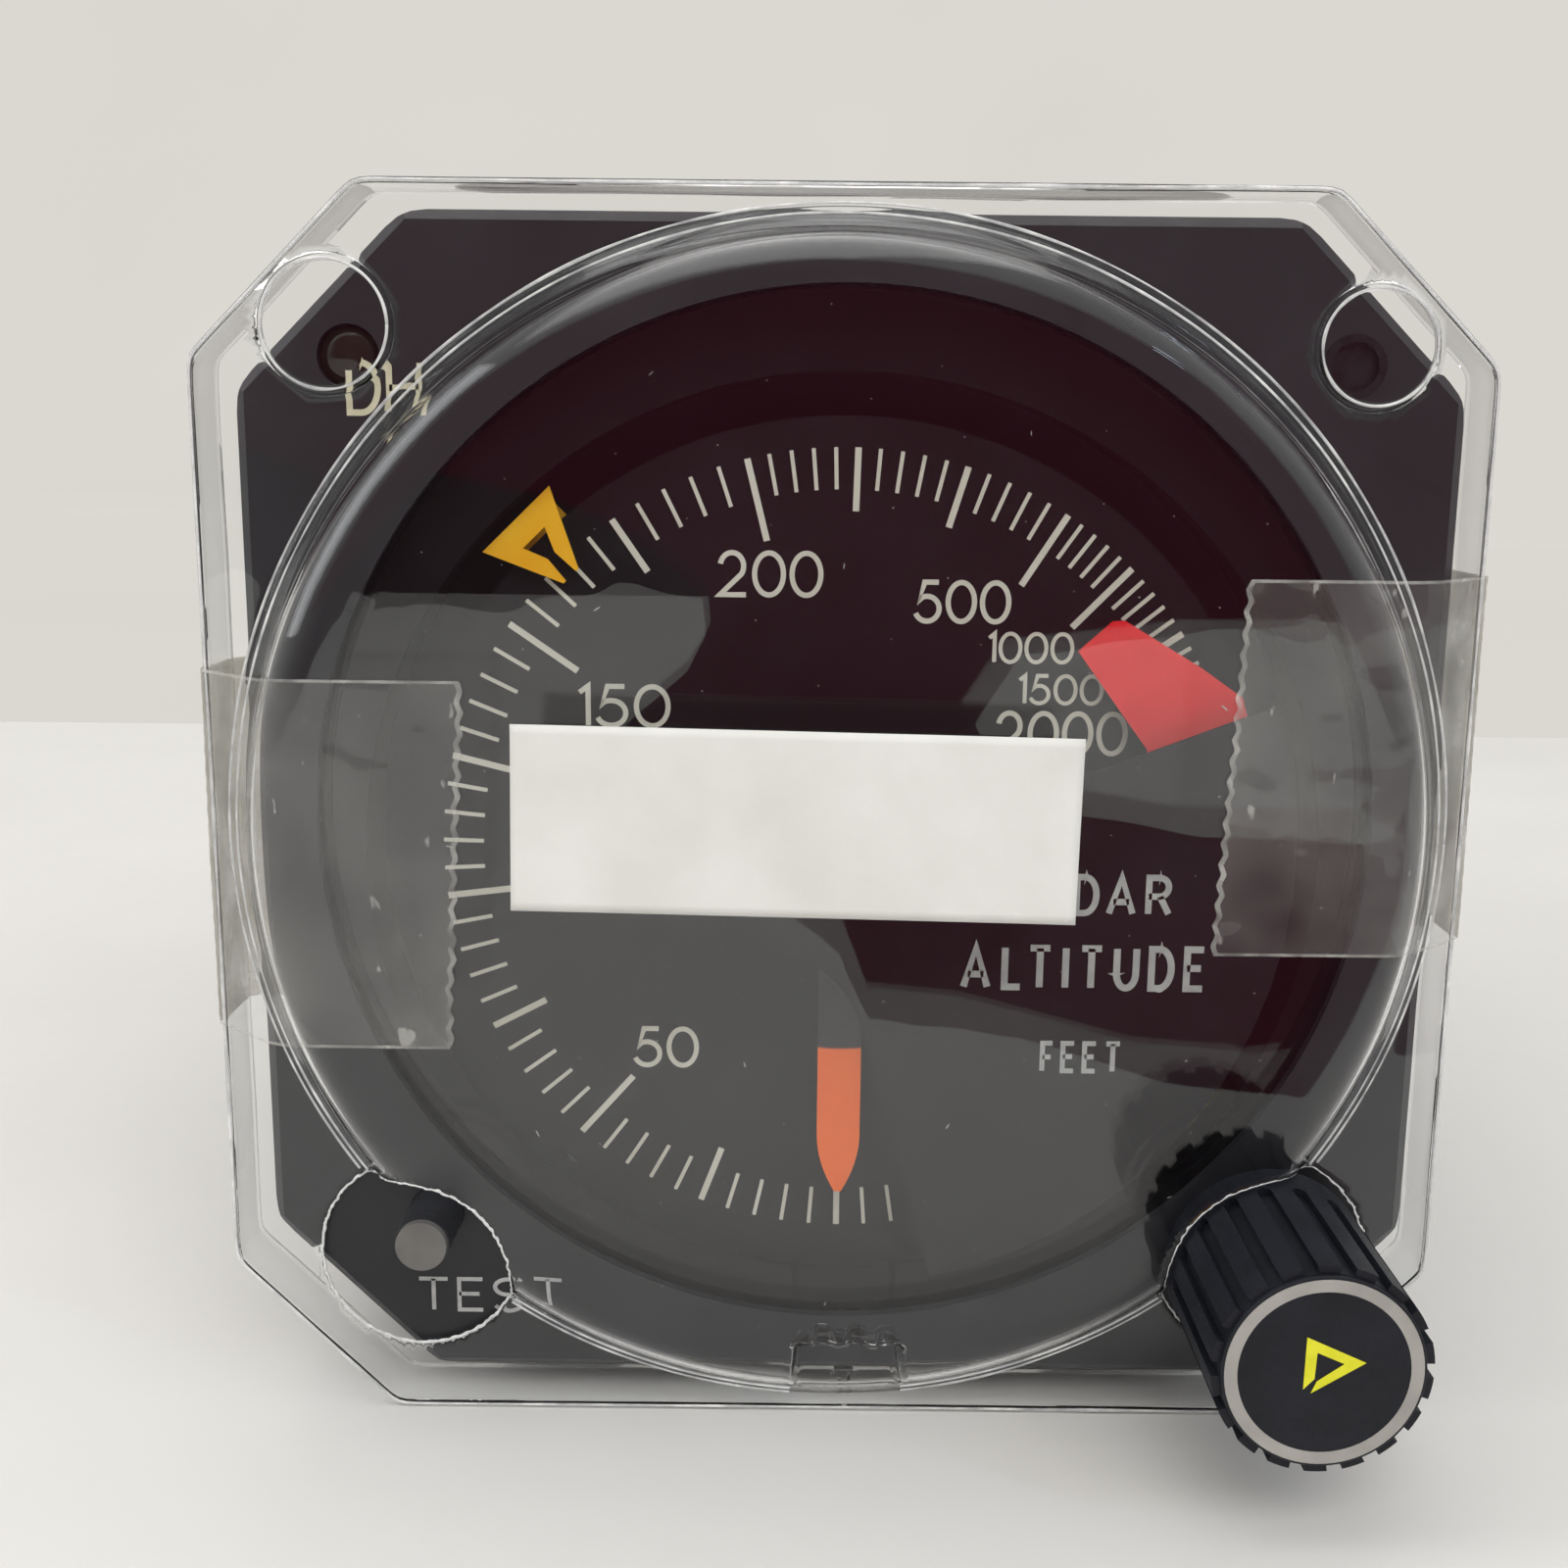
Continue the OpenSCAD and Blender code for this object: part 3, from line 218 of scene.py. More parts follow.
def show_mix(tree, first, second, share):
    """Makes a mix of two shaders the surface, with a share of the second."""
    mix = tree.nodes.new("ShaderNodeMixShader")
    out = next(n for n in tree.nodes if n.type == "OUTPUT_MATERIAL")
    feed(tree, share, mix.inputs["Fac"])
    tree.links.new(first.outputs[0], mix.inputs[1])
    tree.links.new(second.outputs[0], mix.inputs[2])
    tree.links.new(mix.outputs["Shader"], out.inputs["Surface"])


SCUFF_SIZE, SCUFF_STRETCH, SCUFF_SHARE, SCUFF_FROM, SCUFF_FULL = 5.0, (1, 0.35, 1), 0.8, 0.66, 0.74


def coated(name, dark, light, rough, metal=0.0, patch=6.0, grain=0.4, bump=0.006,
           stretch=(1, 1, 1), shine=0.5, scuff=None):
    """Opaque finish whose colour, roughness and surface vary by noise of two sizes, with worn spots."""
    mat, tree, shader = new_material(name)
    grains = noise_field(tree, grain, 2, stretch)
    colour = patched(tree, patch, 4, dark, light)
    if scuff:
        worn = noise_field(tree, SCUFF_SIZE, 6, SCUFF_STRETCH)
        spots = ranged(tree, worn, 0, SCUFF_SHARE, SCUFF_FROM, SCUFF_FULL)
        colour = mixed_colours(tree, spots, colour, scuff)
    tree.links.new(colour, shader.inputs["Base Color"])
    tree.links.new(ranged(tree, grains, *rough), shader.inputs["Roughness"])
    shader.inputs["Metallic"].default_value = metal
    shader.inputs["Specular IOR Level"].default_value = shine
    add_bump(tree, shader, grains, bump)
    return mat


def thin_glass(name, dark, light, share, patch):
    """Flat clear pane: straight through, with a weak sharp mirror image on each face."""
    mat, tree, shader = new_material(name)
    tree.nodes.remove(shader)
    straight = tree.nodes.new("ShaderNodeBsdfTransparent")
    tree.links.new(patched(tree, patch, 1, dark, light), straight.inputs["Color"])
    show_mix(tree, straight, sharp_gloss(tree), share)
    return mat


def clear(name, dark, light, ior, patch):
    """Clear solid that refracts sharply."""
    mat, tree, shader = new_material(name)
    tree.links.new(patched(tree, patch, 1, dark, light), shader.inputs["Base Color"])
    shader.inputs["Transmission Weight"].default_value = 1.0
    shader.inputs["IOR"].default_value = ior
    shader.inputs["Roughness"].default_value = 0.0
    return mat


WRINKLE_SIZE, WRINKLE_HIGH = 8.0, 0.9
FLECK_SIZE, FLECK_STRETCH, FLECK_HIGH = 1.1, (1, 1, 0.45), 0.01


def see_through(name, dark, light, rough, alpha, patch, fleck=0.0, gloss=0.0):
    """Thin film whose cover varies in patches, with small whiter flecks and a wrinkled gloss."""
    mat, tree, shader = new_material(name)
    patches = noise_field(tree, patch, 4)
    tree.links.new(mixed_colours(tree, ranged(tree, patches, 0, 1), dark, light),
                   shader.inputs["Base Color"])
    flecks = noise_field(tree, FLECK_SIZE, 2, FLECK_STRETCH)
    cover = computed(tree, "MAXIMUM", ranged(tree, patches, *alpha, 0.35, 0.65),
                     ranged(tree, flecks, 0, fleck, 0.7, 0.76))
    tree.links.new(cover, shader.inputs["Alpha"])
    tree.links.new(ranged(tree, patches, *rough), shader.inputs["Roughness"])
    add_bump(tree, shader, flecks, FLECK_HIGH)
    if gloss:
        glossy = sharp_gloss(tree)
        add_bump(tree, glossy, noise_field(tree, WRINKLE_SIZE, 1.5), WRINKLE_HIGH)
        show_mix(tree, shader, glossy, gloss)
    return mat


ORANGE_FROM, ORANGE_FULL = 14.2, 14.4


def pointer_paint():
    """Orange outer part and black inner part of the pointer, split by the distance from its axis."""
    mat, tree, shader = new_material("pointer_paint")
    coords = tree.nodes.new("ShaderNodeTexCoord")
    away = tree.nodes.new("ShaderNodeVectorMath")
    away.operation = "DISTANCE"
    away.inputs[1].default_value = (0, low("pointer", 1) * MM, DIAL_Z * MM)
    tree.links.new(coords.outputs["Object"], away.inputs[0])
    split = ranged(tree, away.outputs["Value"], 0, 1, ORANGE_FROM * MM, ORANGE_FULL * MM)
    patches = noise_field(tree, 2.0, 4)
    orange = mixed_colours(tree, patches, "EC5C0C", "F87418")
    black = mixed_colours(tree, patches, "141315", "232124")
    tree.links.new(mixed_colours(tree, split, black, orange), shader.inputs["Base Color"])
    tree.links.new(ranged(tree, patches, 0.5, 0.65), shader.inputs["Roughness"])
    add_bump(tree, shader, noise_field(tree, 0.3), 0.004)
    return mat


# Opaque finishes: dark and light colour, least and most roughness, and what differs from the usual
COATS = {
    "bezel_black": ("131418", "1F2024", (0.43, 0.48), dict(patch=9, grain=0.6, bump=0.0005)),
    "inner_black": ("0B0A0C", "131214", (0.62, 0.7), dict(grain=0.5, bump=0.001, shine=0.08)),
    "gasket": ("121212", "1E1D1D", (0.6, 0.8), dict(grain=0.25, bump=0.01)),
    "legend_black": ("131214", "1D1B1E", (0.6, 0.68), dict(grain=0.5, bump=0.001, shine=0.14)),
    "dial_black": ("111012", "1A181B", (0.62, 0.7), dict(grain=0.5, bump=0.001, shine=0.1)),
    "dial_print": ("CFCABB", "DEDACD", (0.55, 0.7), dict(grain=0.2)),
    "flag_red": ("E2181F", "EF2C31", (0.5, 0.62), dict(patch=3, shine=0.25)),
    "bug_amber": ("F9B012", "FFC22B", (0.5, 0.62), dict(patch=3, shine=0.25)),
    "brass": ("A98A46", "C9AC62", (0.25, 0.4), dict(metal=1.0, grain=0.2)),
    "steel": ("9C9DA0", "BDBEC1", (0.22, 0.38), dict(metal=1.0, grain=0.2)),
    "alloy": ("9FA1A4", "B9BBBE", (0.32, 0.5), dict(metal=1.0, stretch=(1, 0.1, 1))),
    "magnet": ("4E5054", "66686C", (0.35, 0.5), dict(metal=1.0)),
    "copper_coil": ("8A4A24", "B4683A", (0.3, 0.45), dict(metal=0.6, grain=0.25, bump=0.05,
                                                          stretch=(0.1, 4, 0.1))),
    "knob_black": ("10131A", "1B1E26", (0.5, 0.62), dict(patch=4, grain=0.3, bump=0.008, shine=0.32)),
    "knob_grey": ("98948F", "ABA7A1", (0.5, 0.62), dict(patch=3)),
    "button_black": ("232428", "2F3034", (0.35, 0.5), dict(patch=3)),
    "button_grey": ("5E5C59", "72706C", (0.3, 0.45), dict(patch=2.5)),
    "lamp_lens": ("141310", "221E17", (0.05, 0.12), dict(patch=2)),
    "sensor_dark": ("18191B", "26282A", (0.06, 0.14), dict(patch=2)),
    "pot_blue": ("2C4F6A", "38607C", (0.45, 0.6), {}),
    "dark_housing": ("343438", "434347", (0.4, 0.55), {}),
    "board_green": ("1E5A30", "2B6E3E", (0.25, 0.4), dict(patch=8, grain=0.8, bump=0.02)),
    "chip_black": ("1B1B1C", "28282A", (0.5, 0.65), dict(grain=0.2)),
    "case_black": ("1A191B", "282629", (0.38, 0.52), dict(patch=14, grain=0.45, bump=0.012,
                                                          scuff="3A383A")),
    "connector_olive": ("5F6152", "777967", (0.3, 0.45), dict(metal=0.8, patch=4)),
    "gold": ("B8913A", "D9B45C", (0.18, 0.3), dict(metal=1.0, grain=0.2)),
    "label_white": ("DFDED8", "EAE9E4", (0.6, 0.75), dict(patch=7, grain=0.25)),
    "legend_print": ("A2A3A1", "B7B8B5", (0.45, 0.6), dict(patch=1.5, grain=0.2)),
    "engraved_print": ("9C9C9C", "B9B8B5", (0.5, 0.65), dict(patch=1.0, grain=0.2)),
    "cream_print": ("BDB799", "D0CAB0", (0.5, 0.65), dict(patch=1.0, grain=0.2)),
    "yellow_print": ("DDD916", "EEEA30", (0.45, 0.6), dict(patch=1.5, grain=0.2)),
    # Near-black of the rear seam, a dark joint, and of the screw slots, where it is painted shade.
    "seam": ("0A0A0A", "121112", (0.6, 0.8), dict(grain=0.2)),
    "dust": ("9C9A98", "C4C2BF", (0.7, 0.85), dict(patch=0.5, grain=0.1)),
    "cut_edge": ("C9CAC8", "EDEDEB", (0.4, 0.7), dict(patch=0.5, grain=0.15, bump=0.03)),
}
# Thin films: dark and light colour, roughness, cover, size of patches, cover of flecks, share of gloss
FILMS = {
    "clear_tape": ("A9A7A6", "C9C7C0", (0.1, 0.22), (0.02, 0.085), 9.0, 0.4, 0.018),
    # The edge film paints the bright line of light along the tape edges.
    "tape_edge_painted_glint": ("B5B3AE", "D8D6CF", (0.2, 0.35), (0.14, 0.36), 2.0),
    "tape_side": ("CFC7B3", "E6E0D0", (0.25, 0.4), (0.3, 0.7), 5.0, 0.3),
    # The white film of the foot, fold and boss-rim lines paints highlights where glints run along them,
    # besides some stress whitening.
    "crease": ("D4D5D5", "F2F2F0", (0.15, 0.3), (0.4, 0.9), 2.5),
}
FINISHES = {name: coated(name, *row, **more) for name, (*row, more) in COATS.items()}
FINISHES.update((name, see_through(name, *row)) for name, row in FILMS.items())
FINISHES["window"] = thin_glass("window", (0.98, 0.985, 0.983), (0.99, 0.995, 0.993), 0.03, 9.0)
FINISHES["clear_sheet"] = clear("clear_sheet", (0.98, 0.986, 0.986), (0.99, 0.994, 0.994), 1.38, 6.0)
FINISHES["pointer_orange"] = pointer_paint()
BLACKENED = ["front_frame"]


def dress_frame():
    """Gives each CAD node the finish of its material slot, and matte black to a frame beside the dial."""
    for name, obj in nodes.items():
        for entry in obj.material_slots:
            slot = "inner_black" if name in BLACKENED else entry.material.name.split(".")[0]
            entry.material = FINISHES[slot]


# Mesh helpers

def place(name, shape, finish, slot=None, body=ROOT, smooth=False):
    """Piece of vertices in millimetres and faces that rides on a body."""
    verts, faces = shape
    mesh = bpy.data.meshes.new(name)
    mesh.from_pydata([Vector(v) * MM for v in verts], [], faces)
    mesh.validate()
    mesh.polygons.foreach_set("use_smooth", [smooth] * len(mesh.polygons))
    obj = bpy.data.objects.new(name, mesh)
    obj.data.materials.append(FINISHES[finish])
    bpy.context.scene.collection.objects.link(obj)
    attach(obj, body)
    slot or finish
    return obj


def thicken(obj, thickness_mm):
    """Gives a sheet its thickness, behind its front skin."""
    solid = obj.modifiers.new("sheet", "SOLIDIFY")
    solid.thickness = thickness_mm * MM
    solid.offset = -1.0
    return obj


def gather(shapes):
    """One shape of several."""
    verts, faces = [], []
    for more, links in shapes:
        faces += [tuple(i + len(verts) for i in f) for f in links]
        verts += more
    return verts, faces


def ring_faces(rings, around, start=0, flip=False):
    """Faces between rings of points that follow each other."""
    faces = []
    for i in range(rings - 1):
        first = start + i * around
        for j in range(around):
            a, b = first + j, first + (j + 1) % around
            faces.append((a, a + around, b + around, b) if flip else (a, b, b + around, a + around))
    return faces


def capped_faces(rings, around):
    """Faces between rings of points, with a face over each end."""
    last = (rings - 1) * around
    return ring_faces(rings, around) + [tuple(range(around - 1, -1, -1)), tuple(range(last, last + around))]


def lathe(profile, centre, axis, around=40):
    """Turned piece: distances along and around an axis from a centre."""
    along = Vector(axis).normalized()
    side = along.cross(Vector((0, 1, 0)) if abs(along.y) < 0.9 else Vector((1, 0, 0))).normalized()
    up = along.cross(side)
    verts = [Vector(centre) + along * h + r * (math.cos(a) * side + math.sin(a) * up)
             for h, r in profile for a in angles(around)]
    return verts, capped_faces(len(profile), around)


def tube(points, radii, sides=7):
    """Closed tube along a path, with a radius at each point."""
    verts = []
    up = Vector((0, 1, 0))
    for k, p in enumerate(points):
        ahead = Vector(points[min(k + 1, len(points) - 1)]) - Vector(points[max(k - 1, 0)])
        ahead.normalize()
        if abs(ahead.dot(up)) > 0.95:
            up = Vector((1, 0, 0))
        across = ahead.cross(up).normalized()
        lift = across.cross(ahead).normalized()
        verts += [Vector(p) + radii[k] * (math.cos(t) * across + math.sin(t) * lift) for t in angles(sides)]
        up = lift
    return verts, capped_faces(len(points), sides)


def box_bar(centre, axes, halves):
    """Small block with given axes and half sizes."""
    verts = []
    for i in (-1, 1):
        for j in (-1, 1):
            for k in (-1, 1):
                verts.append(Vector(centre) + sum((Vector(a) * h * f for a, h, f in
                                                   zip(axes, halves, (i, j, k))), Vector()))
    faces = [(0, 1, 3, 2), (4, 6, 7, 5), (0, 4, 5, 1), (2, 3, 7, 6), (0, 2, 6, 4), (1, 5, 7, 3)]
    return verts, faces


def flat_shape(outline, face, thick):
    """Raised flat shape on a face seen from the front."""
    count = len(outline)
    verts = [(x, y, z) for y in (face - thick, face) for x, z in outline]
    faces = [tuple(range(count)), tuple(range(2 * count - 1, count - 1, -1))]
    faces += [(k, k + count, (k + 1) % count + count, (k + 1) % count) for k in range(count)]
    return verts, faces


# Stroke letters: each letter's width, and its centre lines in a unit box

def arc(cx, cz, rx, rz, start, end, steps=20):
    return [(cx + rx * math.cos(math.radians(start + (end - start) * k / steps)),
             cz + rz * math.sin(math.radians(start + (end - start) * k / steps)))
            for k in range(steps + 1)]


LETTERS = {
    "0": (0.74, [arc(0.5, 0.5, 0.5, 0.5, 90, 450, 40)]),
    "1": (0.2, [[(1, 0), (1, 1), (0.0, 0.84)]]),
    "2": (0.68, [arc(0.47, 0.68, 0.44, 0.32, 170, -36) + [(0.02, 0), (1, 0)]]),
    "5": (0.68, [[(0.92, 1), (0.34, 1), (0.16, 0.55)] + arc(0.46, 0.32, 0.5, 0.32, 118, -158)]),
    "A": (0.76, [[(0, 0), (0.5, 1), (1, 0)], [(0.17, 0.32), (0.83, 0.32)]]),
    "D": (0.63, [[(0, 0), (0, 1), (0.4, 1)] + arc(0.4, 0.5, 0.6, 0.5, 90, -90) + [(0, 0)]]),
    "E": (0.52, [[(1, 1), (0, 1), (0, 0), (1, 0)], [(0, 0.52), (0.86, 0.52)]]),
    "F": (0.46, [[(1, 1), (0, 1), (0, 0)], [(0, 0.5), (0.86, 0.5)]]),
    "H": (0.68, [[(0, 0), (0, 1)], [(1, 0), (1, 1)], [(0, 0.5), (1, 0.5)]]),
    "I": (0.02, [[(0.5, 0), (0.5, 1)]]),
    "L": (0.5, [[(0, 1), (0, 0), (1, 0)]]),
    "R": (0.66, [[(0, 0), (0, 1), (0.5, 1)] + arc(0.5, 0.74, 0.46, 0.26, 90, -90) + [(0, 0.48)],
                 [(0.55, 0.48), (1, 0)]]),
    "S": (0.62, [arc(0.5, 0.75, 0.46, 0.25, 25, 270) + arc(0.5, 0.25, 0.5, 0.25, 90, -155)[1:]]),
    "T": (0.63, [[(0, 1), (1, 1)], [(0.5, 1), (0.5, 0)]]),
    "U": (0.62, [[(0, 1), (0, 0.38)] + arc(0.5, 0.38, 0.5, 0.38, 180, 360) + [(1, 1)]]),
}
NUMERAL_GAP, LEGEND_GAP, BEZEL_GAP = 0.22, 0.5, 0.25
NUMERAL_THICK, LEGEND_THICK, BEZEL_THICK = 0.08, 0.05, 0.04
KERNING = {"LT": 0.62, "AL": 1.1, "DA": 0.85, "AD": 0.85}
LEAST_MITRE = 0.4


def written(text, left, bottom, right, top, stroke, gap):
    """Strokes of a word that fills a box in the front view, in millimetres."""
    widths = [LETTERS[c][0] for c in text]
    gaps = [gap * KERNING.get(pair, 1) for pair in (a + b for a, b in zip(text, text[1:]))] + [0]
    total = sum(widths) + sum(gaps)
    scale = (right - left - stroke) / total
    height = top - bottom - stroke
    strokes, x = [], left + stroke / 2
    for c, width, after in zip(text, widths, gaps):
        for line in LETTERS[c][1]:
            strokes.append([(x + px * width * scale, bottom + stroke / 2 + pz * height)
                            for px, pz in line])
        x += (width + after) * scale
    return strokes


def side_step(a, b, c, half):
    """Offset to the left of a polyline at point b, mitred between its neighbours."""
    before = (b - a).normalized() if a is not None else (c - b).normalized()
    after = (c - b).normalized() if c is not None else before
    normal = Vector((-(before.y + after.y), before.x + after.x))
    normal.normalize()
    reach = max(LEAST_MITRE, normal.dot(Vector((-before.y, before.x))))
    return normal * (half / reach)


def ribbons(strokes, stroke, face, thick):
    """Flat raised strokes on a face seen from the front."""
    verts, faces = [], []
    for line in strokes:
        points = [Vector(p) for p in line]
        closed = (points[0] - points[-1]).length < 1e-6 and len(points) > 3
        if closed:
            points = points[:-1]
        count = len(points)
        start = len(verts)
        for k, b in enumerate(points):
            a = points[k - 1] if closed or k > 0 else None
            c = points[(k + 1) % count] if closed or k < count - 1 else None
            step = side_step(a, b, c, stroke / 2)
            for p in (b + step, b - step):
                verts.append((p.x, face - thick, p.y))
                verts.append((p.x, face, p.y))
        for k in range(count if closed else count - 1):
            n = (k + 1) % count
            lf, lb, rf, rb = (start + 4 * k + d for d in range(4))
            nlf, nlb, nrf, nrb = (start + 4 * n + d for d in range(4))
            faces += [(lf, rf, nrf, nlf), (lb, nlb, nrb, rb), (lf, nlf, nlb, lb), (rf, rb, nrb, nrf)]
        if not closed:
            lf, lb, rf, rb = (start + d for d in range(4))
            faces.append((lf, lb, rb, rf))
            lf, lb, rf, rb = (start + 4 * (count - 1) + d for d in range(4))
            faces.append((lf, rf, rb, lb))
    return verts, faces


# Words: text, left, bottom, right and top of its box, and width of the strokes
NUMERALS = [
    ("200", -9.25, 18.73, -1.6, 22.1, 0.37), ("50", -15.55, -16.86, -10.56, -13.61, 0.37),
    ("150", -19.42, 9.13, -12.6, 12.37, 0.37), ("100", -21.0, -2.6, -14.0, 0.7, 0.37),
    ("500", 4.9, 16.97, 11.94, 20.14, 0.37), ("1000", 10.3, 14.12, 16.6, 16.46, 0.28),
    ("1500", 12.6, 11.13, 18.86, 13.42, 0.28), ("2000", 11.08, 7.42, 20.76, 10.72, 0.37),
    ("0", -1.25, -20.6, 1.25, -17.3, 0.37),
]
LEGENDS = [
    ("RADAR", 11.44, -3.66, 23.84, -0.53, 0.46), ("ALTITUDE", 8.69, -9.29, 26.59, -5.84, 0.5),
    ("FEET", 14.71, -15.61, 20.73, -13.13, 0.36),
]
BEZEL_WORDS = [("TEST", -31.1, -37.0, -20.25, -34.25, 0.3, "engraved_print"),
               ("DH", -33.8, 28.0, -28.6, 31.7, 0.42, "cream_print")]
KNOB_DELTA = [(-1.3, -1.15), (-1.26, 2.46), (2.63, 0.73), (-0.8, -1.42), (-0.46, -0.6), (1.25, 0.64),
              (-0.54, 1.4), (-0.62, -0.42)]


def letter_pieces():
    """Figures of the dial, words on the mask and the bezel, and the mark on the knob."""
    figures = []
    for text, left, bottom, right, top, stroke in NUMERALS:
        lines = written(text, left, bottom + DIAL_Z, right, top + DIAL_Z, stroke, NUMERAL_GAP)
        figures.append(ribbons(lines, stroke, DIAL_FACE, NUMERAL_THICK))
    place("dial_numerals", gather(figures), "dial_print")
    for text, left, bottom, right, top, stroke in LEGENDS:
        lines = written(text, left, bottom + DIAL_Z, right, top + DIAL_Z, stroke, LEGEND_GAP)
        place("legend_" + text.lower(), ribbons(lines, stroke, MASK_FACE, LEGEND_THICK), "legend_print",
              "dial_print")
    for text, left, bottom, right, top, stroke, finish in BEZEL_WORDS:
        lines = written(text, left, bottom, right, top, stroke, BEZEL_GAP)
        place("bezel_" + text.lower(), ribbons(lines, stroke, BEZEL_FACE, BEZEL_THICK), finish, "dial_print")
    outline = [(x + KNOB_X, z + KNOB_Z) for x, z in KNOB_DELTA]
    place("knob_delta", flat_shape(outline, KNOB_FACE, BEZEL_THICK), "yellow_print", "knob_grey", "knob")


# Case details

CASE_HALF = (high("case_tube", 0) - low("case_tube", 0)) / 2
CASE_BACK = high("case_tube", 1)
CASE_LEG, CASE_ROUND = 10.96, 4.0
SEAM_HALF, SEAM_LIFT = 0.16, 0.03
SCREW_HEIGHTS, SCREW_DEPTHS = (-20, 20), (12, 128)
SCREW_HEAD = [(0, 2.0), (0.35, 2.0), (0.62, 1.8), (0.75, 1.35), (0.78, 0.6)]
SCREW_TURN, SCREW_TURN_STEP = 25, 40
SLOT_HIGH, SLOT_HALVES = 0.7, (0.1, 1.1, 0.2)
BARREL_R, THREAD_PITCH, THREAD_TURNS, THREAD_STEPS, THREAD_R, THREAD_IN = 11.1, 0.9, 9, 64, 0.22, 1


def cut_square(half, leg, round_r, steps=5):
    """Outline of a square with cut and rounded corners, seen from the front."""
    corners = []
    for sx, sz in ((1, 1), (-1, 1), (-1, -1), (1, -1)):
        pair = [(sx * half, sz * (half - leg)), (sx * (half - leg), sz * half)]
        corners += pair if sx * sz > 0 else pair[::-1]
    points, turn = [], math.radians(45)
    reach = round_r * math.tan(turn / 2)
    count = len(corners)
    for k in range(count):
        before, here, after = (Vector(corners[(k + d) % count]) for d in (-1, 0, 1))
        a, b = here + (before - here).normalized() * reach, here + (after - here).normalized() * reach
        for i in range(steps + 1):
            t = i / steps
            points.append((1 - t) ** 2 * a + 2 * t * (1 - t) * here + t * t * b)
    return points


def band_around(outline, lift, y0, y1):
    """Thin band around an outline, between two depths."""
    rings = [(y0, 0), (y0, lift), (y1, lift), (y1, 0)]
    verts = []
    for y, out in rings:
        for p in outline:
            step = p.normalized() * out
            verts.append((p.x + step.x, y, p.y + step.y))
    return verts, ring_faces(len(rings), len(outline), flip=True)


def case_details():
    """Seam of the rear plate, side screws and the connector's thread."""
    outline = cut_square(CASE_HALF, CASE_LEG, CASE_ROUND)
    band = band_around(outline, SEAM_LIFT, CASE_BACK - SEAM_HALF, CASE_BACK + SEAM_HALF)
    place("rear_seam", band, "seam", "case_black")
    heads, slots = [], []
    for side in (-1, 1):
        for index, (y, z) in enumerate((y, z) for y in SCREW_DEPTHS for z in SCREW_HEIGHTS):
            heads.append(lathe(SCREW_HEAD, (side * CASE_HALF, y, z), (side, 0, 0)))
            t = math.radians(SCREW_TURN + SCREW_TURN_STEP * index)
            across, along = (0, math.cos(t), math.sin(t)), (0, -math.sin(t), math.cos(t))
            # Each slot is a pair of crossed near-black bars on the head: painted shade for the slot recess.
            for a, b in ((across, along), (along, across)):
                slots.append(box_bar((side * (CASE_HALF + SLOT_HIGH), y, z), ((1, 0, 0), a, b), SLOT_HALVES))
    place("side_screws", gather(heads), "steel", smooth=True)
    place("side_screw_slot_shade", gather(slots), "seam", "case_black")
    back = high("connector_shell", 1) - THREAD_IN
    helix = []
    for k in range(THREAD_STEPS * THREAD_TURNS + 1):
        x, z = round_point(0, 0, BARREL_R, FULL_TURN * k / THREAD_STEPS)
        helix.append((x, back - THREAD_PITCH * (k / THREAD_STEPS), z))
    place("connector_thread", tube(helix, [THREAD_R] * len(helix), 6), "connector_olive", smooth=True)


# Clear cover: its sizes, then bosses (x, z, radius, rise), cut-outs (x, z, radius) and lines on it

COVER_LOW, COVER_HIGH = (Vector(v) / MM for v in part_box("protective_cover"))
SHEET = 0.36
COVER_HALF = (COVER_HIGH.x - COVER_LOW.x) / 2
COVER_X = (COVER_HIGH.x + COVER_LOW.x) / 2
COVER_Z = (COVER_HIGH.z + COVER_LOW.z) / 2
COVER_LEG, CORNER_SHARP = 11.5, 190
DOME_FRONT, DOME_HIGH = COVER_LOW.y, 5.3
SKIRT_BACK = COVER_HIGH.y
FLANGE = DOME_FRONT + DOME_HIGH
FRONT_LIMIT = FLANGE + 0.3
DOME_FOOT, DOME_FLAT, FOOT_BLEND = 42.3, 36.7, 0.16
SHOULDER, WALL_LEAN = 4.0, 10
FOLD = 0.6
BROAD_WAVE, FINE_WAVE = 0.05, 0.02
NOTCH_X, NOTCH_HALF, NOTCH_R, NOTCH_FLOOR = 1.2, 3.65, 36.2, 1.6
NOTCH_SOFT, NOTCH_WAVE, NOTCH_WAVES = 0.3, 0.22, 2.6
TEAR_X, TEAR_HALF, TEAR_HIGH = 0.6, 0.8, 3.6
SKIRT_IN, SKIRT_FRAY = 0.25, 0.15
AROUND = 560
DOME_RADII = ([6, 12, 18, 24, 29, 33] + [34.5 + 0.3 * k for k in range(23)]
              + [41.4 + 0.1 * k for k in range(15)])
FLANGE_RINGS, FOLD_RINGS, SKIRT_RINGS = 22, 5, 7
BOSSES = [(-34.4, 34.4, 4.3, 0.5), (35.3, 33.6, 3.9, 0.9)]
BOSS_SHEET, BOSS_AROUND, BOSS_FOOT, BOSS_CROWN, BOSS_SINK = 0.16, 96, 0.18, 0.3, 0.05
RIM_IN, RIM_DOWN, RIM_R = 0.1, 0.12, 0.11
CUTS = [(-30.55, -31.9, 7.3), (KNOB_X, KNOB_Z, 7.65)]
HOLES = CUTS + [(COVER_X + x, COVER_Z + z, r + 0.3) for x, z, r, rise in BOSSES]
HOLE_SNAP = 0.8
BURRS, BURR_STEPS, BURR_WANDER = [0.12, 0.08], 420, 0.12
